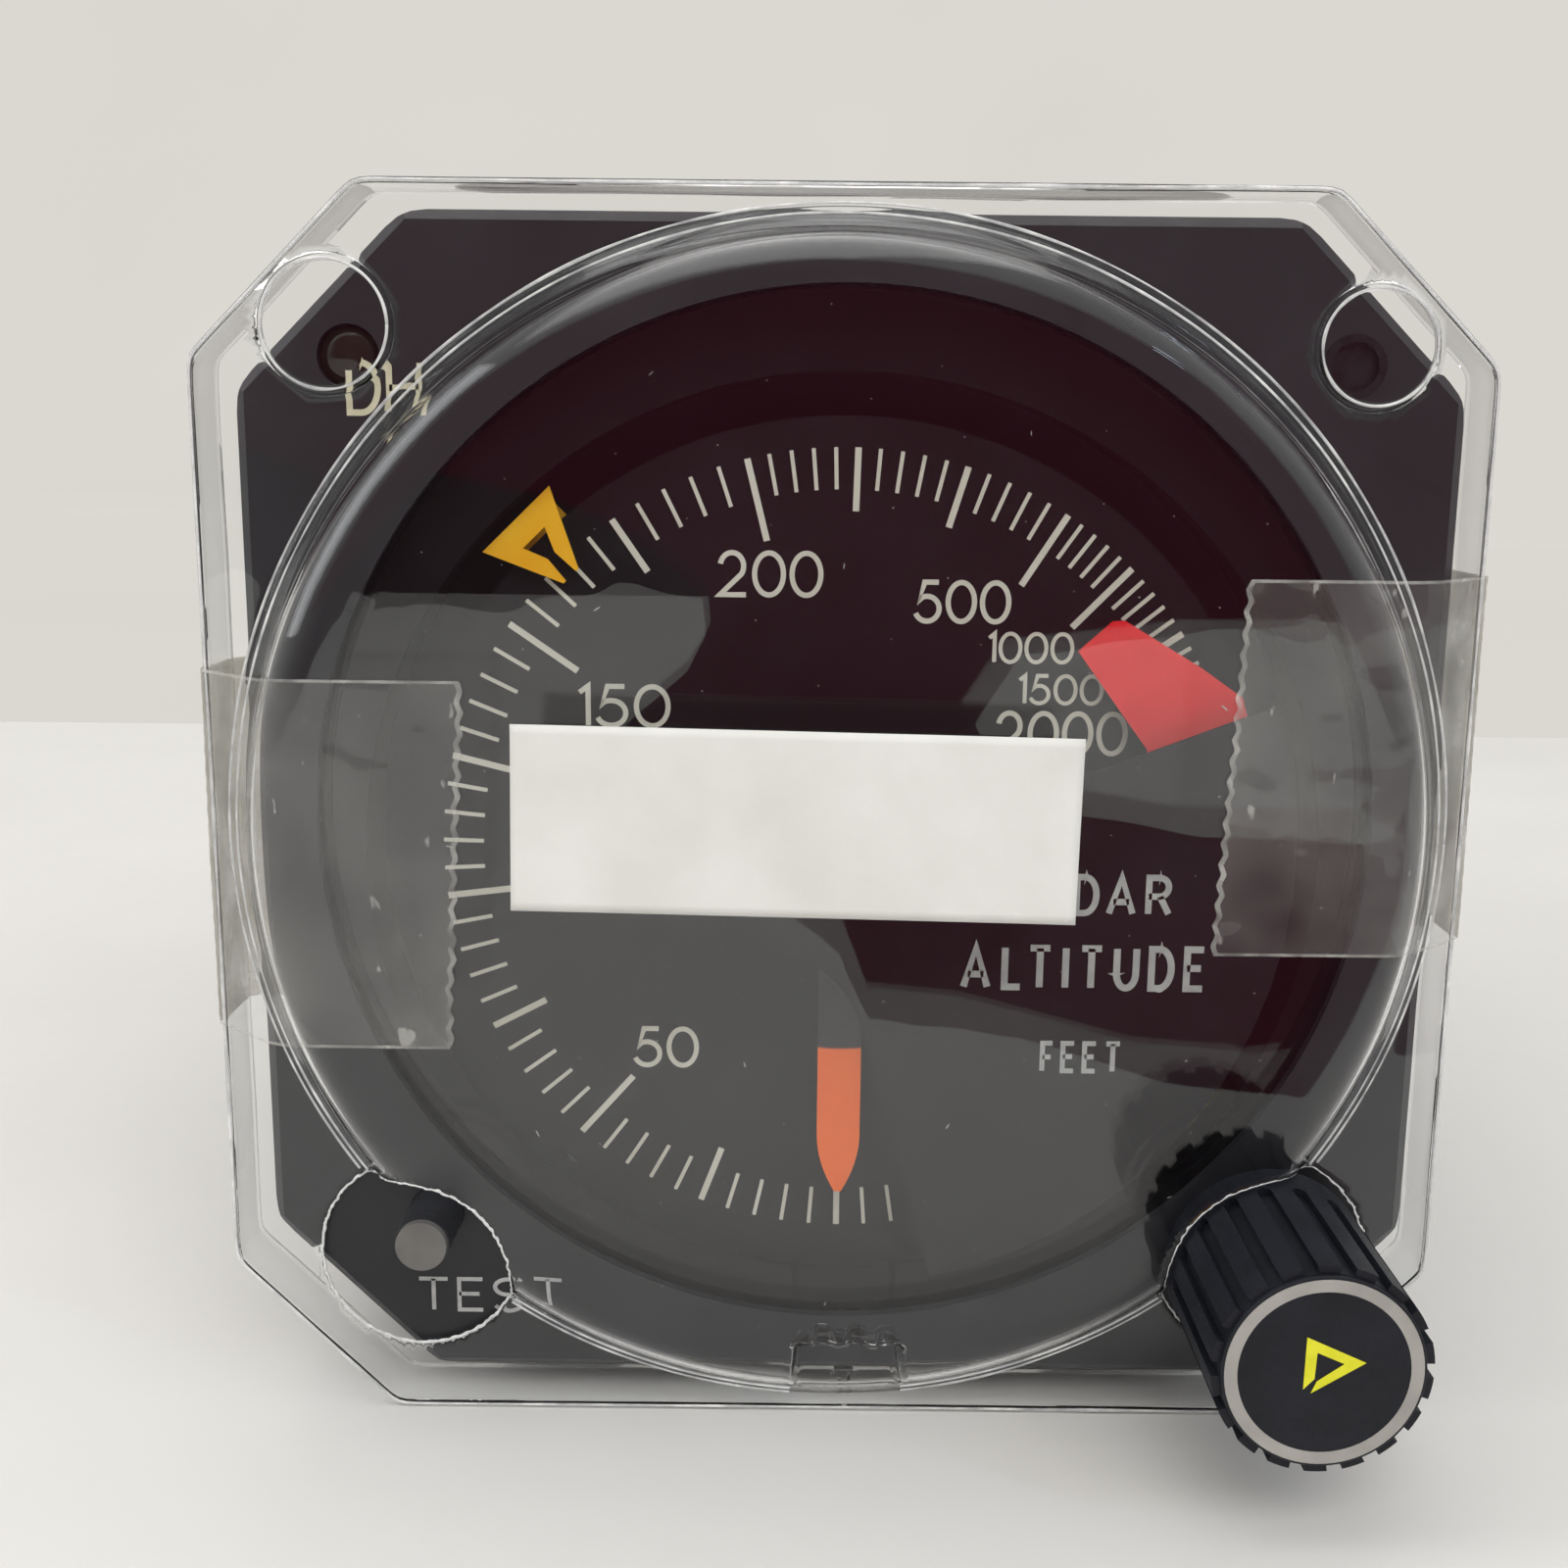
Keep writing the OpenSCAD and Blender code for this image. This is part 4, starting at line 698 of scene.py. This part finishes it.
# Radii of the white lines at the dome's foot, painted highlights for the glints there.
CREASES, CREASE_STEPS, CREASE_WANDER, CREASE_R = [42.42, 41.72], 900, 0.05, 0.1
# Place and thickness of the white fold lines, painted highlights along the skirt's fold and back edge.
FOLD_LINES, FOLD_STEPS = [(-0.28, 0.1, 0.12), (-0.1, SKIRT_BACK - FLANGE - 0.1, 0.07)], 720
DUST_SPECKS, DUST_REACH, DUST_SIDES, DUST_STRETCH, DUST_SHEET = 130, 35, 6, 5, 0.012
GOLDEN = 0.618034


def dome_height(r):
    """Height of the dome above the flange at a radius."""
    lean = math.radians(WALL_LEAN)
    knee = DOME_FLAT + SHOULDER * math.cos(lean)
    knee_high = DOME_HIGH - SHOULDER * (1 - math.sin(lean))
    if r <= DOME_FLAT:
        return DOME_HIGH
    if r <= knee:
        return DOME_HIGH - SHOULDER * (1 - math.sin(math.acos((r - DOME_FLAT) / SHOULDER)))
    wall = knee_high * (DOME_FOOT - r) / (DOME_FOOT - knee)
    return 0.5 * (wall + math.hypot(wall, FOOT_BLEND)) if wall < knee_high else wall


def cover_front(x, z):
    """Depth of the cover's front skin at a place in the front view."""
    px, pz = x - COVER_X, z - COVER_Z
    height = dome_height(math.hypot(px, pz))
    edge = NOTCH_R + NOTCH_WAVE * math.sin(px * NOTCH_WAVES)
    notch = (smooth_step(-NOTCH_SOFT, NOTCH_SOFT, NOTCH_HALF - abs(px - NOTCH_X))
             * smooth_step(-NOTCH_SOFT, NOTCH_SOFT, -pz - edge))
    height += (min(height, NOTCH_FLOOR) - height) * notch
    wave = BROAD_WAVE * (1 + ripple(x, z, 14, 3.1)) + FINE_WAVE * (1 + ripple(x, z, 4, 9.7))
    return FLANGE - height + wave


def octagon_reach(angle):
    """Distance from the cover's axis to its cut-corner outline, with rounded corners."""
    c, s = abs(math.cos(angle)), abs(math.sin(angle))
    flat = 1 / max(c, s)
    corner = (2 - COVER_LEG / COVER_HALF) / (c + s)
    return COVER_HALF * (flat ** -CORNER_SHARP + corner ** -CORNER_SHARP) ** (-1 / CORNER_SHARP)


def front_ring(turns, radii):
    """Ring of points on the cover's front skin."""
    ring = []
    for a, r in zip(turns, radii):
        x, z = round_point(COVER_X, COVER_Z, r, a)
        ring.append((x, cover_front(x, z), z))
    return ring


def skirt_ring(turns, out, down):
    """Ring of points on the skirt, which draws in and frays towards its back edge."""
    loose = smooth_step(1.0, 5.0, down)
    ring = []
    for a in turns:
        r = octagon_reach(a) + out - SKIRT_IN * loose * (1 + round_ripple(a, 40, 9, down * 0.2)) / 2
        frayed = down - SKIRT_FRAY * loose * (1 + round_ripple(a, 40, 3, 5.5)) / 2
        x, z = round_point(COVER_X, COVER_Z, r, a)
        ring.append((x, FLANGE + frayed, z))
    return ring


def cover_rings():
    """Rings of points from the centre of the dome to the edge of the skirt."""
    turns = angles(AROUND)
    rings = [front_ring(turns, [r] * AROUND) for r in DOME_RADII]
    inner, reaches = DOME_RADII[-1], [octagon_reach(a) for a in turns]
    for k in range(1, FLANGE_RINGS + 1):
        rings.append(front_ring(turns, [inner + (reach - FOLD - inner) * k / FLANGE_RINGS
                                        for reach in reaches]))
    for k in range(1, FOLD_RINGS + 1):
        bend = math.radians(90 / FOLD_RINGS * k)
        rings.append(skirt_ring(turns, -FOLD * (1 - math.sin(bend)), FOLD * (1 - math.cos(bend))))
    depth = SKIRT_BACK - FLANGE
    for k in range(1, SKIRT_RINGS + 1):
        rings.append(skirt_ring(turns, 0, FOLD + (depth - FOLD) * k / SKIRT_RINGS))
    return rings


def in_cut(x, y, z):
    """True inside the holes of the front, and in the tear of the lower skirt."""
    if y < FRONT_LIMIT:
        return any(math.hypot(x - cx, z - cz) < cr for cx, cz, cr in HOLES)
    tear = TEAR_HALF * (y - SKIRT_BACK + TEAR_HIGH) / TEAR_HIGH
    return z < COVER_LOW.z + 2 and abs(x - TEAR_X) < tear


def rim_points(faces):
    """Points on the open edges of a mesh."""
    uses = {}
    for f in faces:
        for i, j in zip(f, f[1:] + f[:1]):
            key = (min(i, j), max(i, j))
            uses[key] = uses.get(key, 0) + 1
    return set(i for key, n in uses.items() if n == 1 for i in key)


def let_lamps_through(obj):
    """Lets light reach what lies behind a clear piece as if the piece weren't there."""
    obj.visible_shadow = False
    obj.visible_diffuse = False


def clear_cover():
    """Formed sheet with its dome, notch, flange and skirt, and with clean edges at its holes."""
    rings = cover_rings()
    verts = [(COVER_X, cover_front(COVER_X, COVER_Z), COVER_Z)]
    for ring in rings:
        verts += ring
    faces = [(0, 1 + j, 1 + (j + 1) % AROUND) for j in range(AROUND)]
    faces += ring_faces(len(rings), AROUND, start=1, flip=True)
    faces = [f for f in faces if not in_cut(*sum((Vector(verts[i]) for i in f), Vector()) / len(f))]
    for i in rim_points(faces):
        x, y, z = verts[i]
        if y > FRONT_LIMIT:
            continue
        for cx, cz, cr in HOLES:
            away = math.hypot(x - cx, z - cz)
            if abs(away - cr) < HOLE_SNAP:
                x, z = cx + (x - cx) * cr / away, cz + (z - cz) * cr / away
                verts[i] = (x, cover_front(x, z), z)
    used = sorted(set(i for f in faces for i in f))
    order = {old: new for new, old in enumerate(used)}
    shape = [verts[i] for i in used], [tuple(order[i] for i in f) for f in faces]
    cover = thicken(place("cover_shell", shape, "clear_sheet", smooth=True), SHEET)
    let_lamps_through(cover)
    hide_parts("protective_cover")


def boss_profile(r, rise):
    """Radius and height of a formed boss, from its foot on the flange to the middle of its top."""
    profile = [(r + BOSS_FOOT * (1 - math.sin(a)), BOSS_FOOT * (1 - math.cos(a)))
               for a in map(math.radians, range(0, 91, 18))]
    profile += [(r - 0.04 - BOSS_CROWN * (1 - math.cos(a)), rise - BOSS_CROWN * (1 - math.sin(a)))
                for a in map(math.radians, range(0, 91, 15))]
    return profile + [(r * share, rise - BOSS_SINK * (1 - share)) for share in (0.6, 0.3, 0.05)]


def cover_bosses():
    """Bumps formed in the cover over the two corner lamps, with white rims that paint the highlight along
    each rim, besides some stress whitening.
    """
    for index, (bx, bz, br, rise) in enumerate(BOSSES):
        cx, cz = COVER_X + bx, COVER_Z + bz
        profile = boss_profile(br, rise)
        verts = []
        for r, h in profile:
            for a in angles(BOSS_AROUND):
                x, z = round_point(cx, cz, r, a)
                verts.append((x, cover_front(x, z) - h + 0.03 * ripple(x, z, 2.2, index), z))
        top, last = len(verts), len(verts) - BOSS_AROUND
        verts.append((cx, cover_front(cx, cz) - rise + BOSS_SINK, cz))
        faces = ring_faces(len(profile), BOSS_AROUND)
        faces += [(last + j, last + (j + 1) % BOSS_AROUND, top) for j in range(BOSS_AROUND)]
        boss = place("cover_boss_%d" % index, (verts, faces), "clear_sheet", smooth=True)
        thicken(boss, BOSS_SHEET)
        let_lamps_through(boss)
        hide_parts("protective_cover")
        rim, radii = [], []
        for a in angles(BOSS_AROUND, 1):
            x, z = round_point(cx, cz, br - RIM_IN, a)
            rim.append((x, cover_front(x, z) - rise + RIM_DOWN, z))
            radii.append(RIM_R + 0.05 * round_ripple(a, 20, 9, index))
        # The white rim tube is a painted highlight along the top edge of the boss.
        place("boss_rim_%d" % index, tube(rim, radii), "crease", "clear_sheet", smooth=True)


def cut_edges():
    """Rough whitened burr along the hand-made cut-outs."""
    for index, (cx, cz, cr) in enumerate(CUTS):
        points, radii = [], []
        for a in angles(BURR_STEPS, 1):
            r = cr + BURR_WANDER * round_ripple(a, 20, 1.3, index)
            x, z = round_point(cx, cz, r, a)
            points.append((x, cover_front(x, z) + SHEET / 2, z))
            radii.append(BURRS[index] * (1 + 0.5 * round_ripple(a, 20, 0.6, 4 + index)))
        place("cut_edge_%d" % index, tube(points, radii), "cut_edge", "clear_sheet", smooth=True)


def creases():
    """White lines along the foot of the dome that paint the bright glints there, broken at the cut-outs and
    the notch.
    """
    for index, radius in enumerate(CREASES):
        runs = [[]]
        for a in angles(CREASE_STEPS, 1):
            r = radius + CREASE_WANDER * round_ripple(a, 30, 6, index)
            x, z = round_point(COVER_X, COVER_Z, r, a)
            in_hole = any(math.hypot(x - cx, z - cz) < cr + 0.2 for cx, cz, cr in CUTS)
            in_notch = abs(x - COVER_X - NOTCH_X) < NOTCH_HALF + 0.3 and z < COVER_Z
            if in_hole or in_notch:
                runs.append([])
            else:
                thick = CREASE_R + 0.07 * round_ripple(a, 20, 4, 2 + index)
                runs[-1].append(((x, cover_front(x, z) - 0.01, z), max(0.02, thick)))
        lines = [tube(*zip(*run), 6) for run in runs if len(run) > 3]
        place("crease_%d" % index, gather(lines), "crease", "clear_sheet", smooth=True)


def folds():
    """White lines along the fold of the skirt and along its back edge: painted highlights for the glints
    there, with some stress whitening.
    """
    turns = angles(FOLD_STEPS, 1)
    for index, (out, down, thick) in enumerate(FOLD_LINES):
        points = skirt_ring(turns, out, down)
        radii = [thick * (1 + 0.6 * round_ripple(a, 60, 7, index)) for a in turns]
        place("fold_%d" % index, tube(points, radii, 6), "crease", "clear_sheet", smooth=True)


# Label and tapes (name, side, height of the middle, front ends at the top and the bottom)

LABEL_X, LABEL_Z, LABEL_TILT = -3.4, 1.5, 0.9
LABEL_LEN, LABEL_HIGH, LABEL_SHEET = 38.1, 12.7, 0.1
LABEL_COLUMNS, LABEL_ROWS, LABEL_CURL = 60, 20, 0.08
TAPES = [("tape_left", -1, -1.75, 25.3, 26.7), ("tape_right", 1, 5.45, 25.8, 24.72)]
TAPE_WIDE, TAPE_SHEET, TAPE_STAND = 25.4, 0.06, 0.1
TAPE_COLUMNS, TAPE_ROWS, EDGE_COLUMNS = 72, 120, 3
TAPE_TEETH, TOOTH_HIGH = 18, 0.3


def dust():
    """Specks and short fibres on the front of the cover, clear of the label."""
    verts, faces = [], []
    for k in range(DUST_SPECKS):
        r = DUST_REACH * math.sqrt((k + 0.5) / DUST_SPECKS) + 2 * ripple(k, 0, 0.7, 2.2)
        x, z = round_point(COVER_X, COVER_Z, r, FULL_TURN * (k * GOLDEN % 1))
        if abs(x - LABEL_X) < LABEL_LEN / 2 + 1 and abs(z - LABEL_Z) < LABEL_HIGH / 2 + 1:
            continue
        size = 0.035 + 0.05 * abs(ripple(k, 5, 0.9, 7.7))
        stretch = DUST_STRETCH if k % 9 == 0 else 1
        faces.append(tuple(range(len(verts), len(verts) + DUST_SIDES)))
        for t in angles(DUST_SIDES):
            px, pz = size * stretch * math.cos(t), size * 0.7 * math.sin(t)
            verts.append((x + px * math.cos(k) - pz * math.sin(k), cover_front(x, z) - 0.015,
                          z + px * math.sin(k) + pz * math.cos(k)))
    thicken(place("cover_dust", (verts, faces), "dust", "label_white"), DUST_SHEET)


def sheet_grid(name, columns, rows, point, finish, thickness):
    """Thin sheet from a function of two shares, with its front skin on the first side."""
    verts = [point(i / columns, j / rows) for j in range(rows + 1) for i in range(columns + 1)]
    step = columns + 1
    faces = [(j * step + i, j * step + i + 1, (j + 1) * step + i + 1, (j + 1) * step + i)
             for j in range(rows) for i in range(columns)]
    return thicken(place(name, (verts, faces), finish, smooth=True), thickness)


def label_point(u, v):
    """Place on the label's front at shares of its length and height, with corners that curl a little."""
    px, pz = (u - 0.5) * LABEL_LEN, (v - 0.5) * LABEL_HIGH
    corner = (abs(2 * u - 1) * abs(2 * v - 1)) ** 6
    t = math.radians(LABEL_TILT)
    x = LABEL_X + px * math.cos(t) + pz * math.sin(t)
    z = LABEL_Z - px * math.sin(t) + pz * math.cos(t)
    return x, LABEL_FACE - LABEL_CURL * corner + 0.01 * ripple(x, z, 5, 1), z


def label():
    sheet = sheet_grid("label_sheet", LABEL_COLUMNS, LABEL_ROWS, label_point, "label_white", LABEL_SHEET)
    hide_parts("cover_label")


def tape_path(side, start):
    """Path of a tape from the front of the dome over its shoulder to the side of the bezel."""
    slip = side * COVER_X
    foot = COVER_HALF + slip + TAPE_STAND
    bezel_side = BEZEL_SIDE + TAPE_STAND
    lay = SHOULDER + TAPE_STAND
    path = [(start, DOME_FRONT - TAPE_STAND)]
    for a in range(90, 40, -5):
        t = math.radians(a)
        path.append((DOME_FLAT + slip + lay * math.cos(t), DOME_FRONT + SHOULDER - lay * math.sin(t)))
    path += [(foot, FLANGE - TAPE_STAND), (foot, SKIRT_BACK + 0.1), (bezel_side, SKIRT_BACK + 2.5),
             (bezel_side, TAPE_END)]
    return path


def spread_points(path, shares):
    """Points at given shares of the length of a path."""
    lengths = [math.dist(a, b) for a, b in zip(path, path[1:])]
    total, result = sum(lengths), []
    for share in shares:
        want, i = total * share, 0
        while i < len(lengths) - 1 and want > lengths[i]:
            want -= lengths[i]
            i += 1
        part = clamp(want / lengths[i])
        a, b = path[i], path[i + 1]
        result.append((a[0] + (b[0] - a[0]) * part, a[1] + (b[1] - a[1]) * part))
    return result


def tapes():
    """Two strips of tape with toothed front ends, with a painted highlight as a whiter band along their
    edges, and whiter beside the bezel.
    """
    columns, rows = TAPE_COLUMNS, TAPE_ROWS
    shares = [(k / columns) ** 1.4 for k in range(columns + 1)]
    for name, side, centre, top_start, bottom_start in TAPES:
        lines = []
        for j in range(rows + 1):
            v = j / rows
            z = centre + (v - 0.5) * TAPE_WIDE
            tooth = TOOTH_HIGH * abs((v * 2 * TAPE_TEETH) % 2 - 1) + 0.12 * ripple(0, z, 3, side)
            start = bottom_start + (top_start - bottom_start) * v + tooth
            lines.append((z, spread_points(tape_path(side, start), shares)))

        def point(u, v, side=side, lines=lines):
            k = round(u * columns) if side > 0 else columns - round(u * columns)
            z, line = lines[round(v * rows)]
            x, y = line[k]
            lift = 0.03 * ripple(x, z, 3.5, side)
            return side * (x + lift * 0.5), y - lift * 0.5, z

        tape = sheet_grid(name, columns, rows, point, "clear_tape", TAPE_SHEET)
        tape.data.materials.append(FINISHES["tape_edge_painted_glint"])
        tape.data.materials.append(FINISHES["tape_side"])
        # Edge faces take the edge film, a painted highlight; faces beside the bezel take the side film.
        for index, face in enumerate(tape.data.polygons):
            row, column = divmod(index, columns)
            along = column if side > 0 else columns - 1 - column
            if abs(face.center.x) > (BEZEL_SIDE + 0.3) * MM and face.center.y > FLANGE * MM:
                face.material_index = 2
            elif along < EDGE_COLUMNS or row in (0, rows - 1):
                face.material_index = 1
        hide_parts("cover_tapes")


# Stage and light, in metres, apart from the card's outline

TABLE_HALF, TABLE_FRONT, TABLE_EDGE = 2.5, -0.72, 0.316
WALL_WIDE, WALL_BACK, WALL_TOP, WALL_CURVE, WALL_STEPS, WALL_DROP = 8, 2.6, 2.5, 0.5, 24, 0.0005
CARD_Y = -0.09
CARD_OUTLINE = [(-160, 40), (-40, 22), (-28.7, 19), (-19, 15), (-13.9, 10.6), (-13.5, 6), (-16, 1.9),
                (-22.3, -3.6), (-18, -12), (-6, -22), (1.9, -28.4), (5, -36.5), (16, -37.5), (37, -43),
                (50, -43.9), (160, -43.9), (160, -16), (40, -14.5), (20, -11), (15, -3), (20, 4.5), (40, 7),
                (160, 9), (160, 160), (-160, 160)]
DARK_CARD = ((0.15, 0.035, 0.058), (0.19, 0.046, 0.075))
DARK_ROOM, BACK_ROOM, CEILING, PALE_ROOM = (0.085, 0.05, 0.056), (0.68, 0.67, 0.65), (0.76,) * 3, "DAD7D1"
# Lamps: name, place, aim, width and height, power, colour
LAMPS = [
    ("overhead", (-0.1, 0.1, 0.9), (0, 0.05, 0), (1.0, 0.8), 3.5, (1, 0.985, 0.96)),
    ("front_panel", (0.15, -0.75, 0.75), (0, 0, 0), (0.9, 0.4), 4.4, (1, 0.99, 0.97)),
    ("left_window", (-0.9, -0.1, 0.5), (0, 0, 0), (0.4, 0.7), 2.2, (0.95, 0.98, 1)),
    ("side_strip", (0.5, -0.35, 0.42), (0, 0, 0), (0.05, 0.3), 0.5, (0.7, 0.83, 1)),
]


def staged(name, verts, faces, mat):
    mesh = bpy.data.meshes.new(name)
    mesh.from_pydata(verts, [], faces)
    obj = bpy.data.objects.new(name, mesh)
    obj.data.materials.append(mat)
    bpy.context.scene.collection.objects.link(obj)
    return obj


def backdrop(floor, mat):
    """Wall that runs back along the floor behind the table and turns up in a wide curve."""
    profile = [(TABLE_EDGE, floor), (WALL_BACK - WALL_CURVE, floor)]
    profile += [(WALL_BACK - WALL_CURVE + WALL_CURVE * math.sin(t), floor + WALL_CURVE * (1 - math.cos(t)))
                for t in (math.pi / 2 * k / WALL_STEPS for k in range(1, WALL_STEPS + 1))]
    profile.append((WALL_BACK, WALL_TOP))
    verts = [(side * WALL_WIDE / 2, y, h) for y, h in profile for side in (-1, 1)]
    faces = [(2 * k, 2 * k + 1, 2 * k + 3, 2 * k + 2) for k in range(len(profile) - 1)]
    polygons = staged("backdrop", verts, faces, mat).data.polygons
    polygons.foreach_set("use_smooth", [True] * len(polygons))


def area_light(name, place_at, aim, size, power, colour):
    data = bpy.data.lights.new(name, "AREA")
    data.shape = "RECTANGLE"
    data.size, data.size_y = size
    data.energy = power
    data.color = colour
    lamp = bpy.data.objects.new(name, data)
    lamp.location = place_at
    lamp.rotation_mode = "QUATERNION"
    lamp.rotation_quaternion = (Vector(aim) - Vector(place_at)).to_track_quat("-Z", "Y")
    bpy.context.scene.collection.objects.link(lamp)


def own_colour(tree, dark, light, patch):
    """Shader that shows a colour as it is."""
    shown = tree.nodes.new("ShaderNodeEmission")
    tree.links.new(patched(tree, patch, 2, dark, light), shown.inputs["Color"])
    return shown


def glowing(name, dark, light, patch):
    """Even surface that shows its own colour to straight, mirrored and refracted rays, and gives no light."""
    mat, tree, shader = new_material(name)
    feed(tree, light, shader.inputs["Base Color"])
    shader.inputs["Roughness"].default_value = 0.8
    path = tree.nodes.new("ShaderNodeLightPath")
    seen = path.outputs["Is Camera Ray"]
    for ray in ("Is Glossy Ray", "Is Transmission Ray"):
        seen = computed(tree, "MAXIMUM", seen, path.outputs[ray])
    show_mix(tree, shader, own_colour(tree, dark, light, patch), seen)
    return mat


def mirrored_only(name, dark, light, patch):
    """Card that shows its colour in mirror images, also through glass, and is clear to every other ray."""
    mat, tree, shader = new_material(name)
    shader.inputs["Alpha"].default_value = 0.0
    path = tree.nodes.new("ShaderNodeLightPath")
    mirrored = computed(tree, "GREATER_THAN", path.outputs["Glossy Depth"], 0.5)
    show_mix(tree, shader, own_colour(tree, dark, light, patch), mirrored)
    return mat


def dark_flag():
    """Dark card in front of the part, seen only in mirror images on its window and cover."""
    verts = [(x * MM, CARD_Y, z * MM) for x, z in CARD_OUTLINE]
    card = staged("dark_flag", verts, [tuple(range(len(verts)))], mirrored_only("dark_card", *DARK_CARD, 40))
    card.visible_camera = False
    card.visible_diffuse = False
    card.visible_shadow = False


def stage():
    floor = FLOOR_Z * MM
    corners = [(-TABLE_HALF, TABLE_FRONT, floor), (TABLE_HALF, TABLE_FRONT, floor),
               (TABLE_HALF, TABLE_EDGE, floor), (-TABLE_HALF, TABLE_EDGE, floor)]
    staged("table", corners, [(0, 1, 2, 3)],
           coated("table_top", "D6D4D0", "DBD9D5", (0.6, 0.75), patch=60, grain=2, bump=0.02))
    backdrop(floor - WALL_DROP, glowing("wall_paint", "D9D6CF", "DCD9D3", 400))
    dark_flag()
    for lamp in LAMPS:
        area_light(*lamp)


def room_light():
    """Soft light of a room that is pale above and behind the part, and dark in front of it."""
    world = bpy.data.worlds.new("studio")
    world.use_nodes = True
    bpy.context.scene.world = world
    tree = world.node_tree
    background = next(n for n in tree.nodes if n.type == "BACKGROUND")
    coords = tree.nodes.new("ShaderNodeTexCoord")
    split = tree.nodes.new("ShaderNodeSeparateXYZ")
    tree.links.new(coords.outputs["Generated"], split.inputs[0])
    behind = ranged(tree, split.outputs["Y"], 0, 1, -0.8, -0.1)
    above = ranged(tree, split.outputs["Z"], 0, 1, 0.2, 0.6)
    lit = mixed_colours(tree, above, mixed_colours(tree, behind, DARK_ROOM, BACK_ROOM), CEILING)
    path = tree.nodes.new("ShaderNodeLightPath")
    seen = mixed_colours(tree, path.outputs["Is Camera Ray"], lit, PALE_ROOM)
    tree.links.new(seen, background.inputs["Color"])
    background.inputs["Strength"].default_value = 1.0


# Camera: lens and shift, its place, and its right, up and back directions

SENSOR, LENS, SHIFT_X, SHIFT_Y = 36, 42.32, -0.00975, 0.0232
CAMERA_PLACE = (-3.09, -136.72, 26.91)
CAMERA_AXES = ((0.999944, 0.002605, 0.010297), (-0.010611, 0.203589, 0.978995), (0.000454, -0.97905, 0.20360))


def camera():
    data = bpy.data.cameras.new("photo_view")
    data.sensor_width, data.lens = SENSOR, LENS
    data.shift_x, data.shift_y = SHIFT_X, SHIFT_Y
    data.clip_start, data.clip_end = 0.01, 20
    cam = bpy.data.objects.new("photo_view", data)
    turn = Matrix(CAMERA_AXES).transposed().to_4x4()
    cam.matrix_world = Matrix.Translation(Vector(CAMERA_PLACE) * MM) @ turn
    bpy.context.scene.collection.objects.link(cam)
    bpy.context.scene.camera = cam


camera()
dress_frame()
letter_pieces()
case_details()
clear_cover()
cover_bosses()
cut_edges()
creases()
folds()
dust()
label()
tapes()
stage()
room_light()
bpy.context.scene.view_settings.view_transform = "Standard"
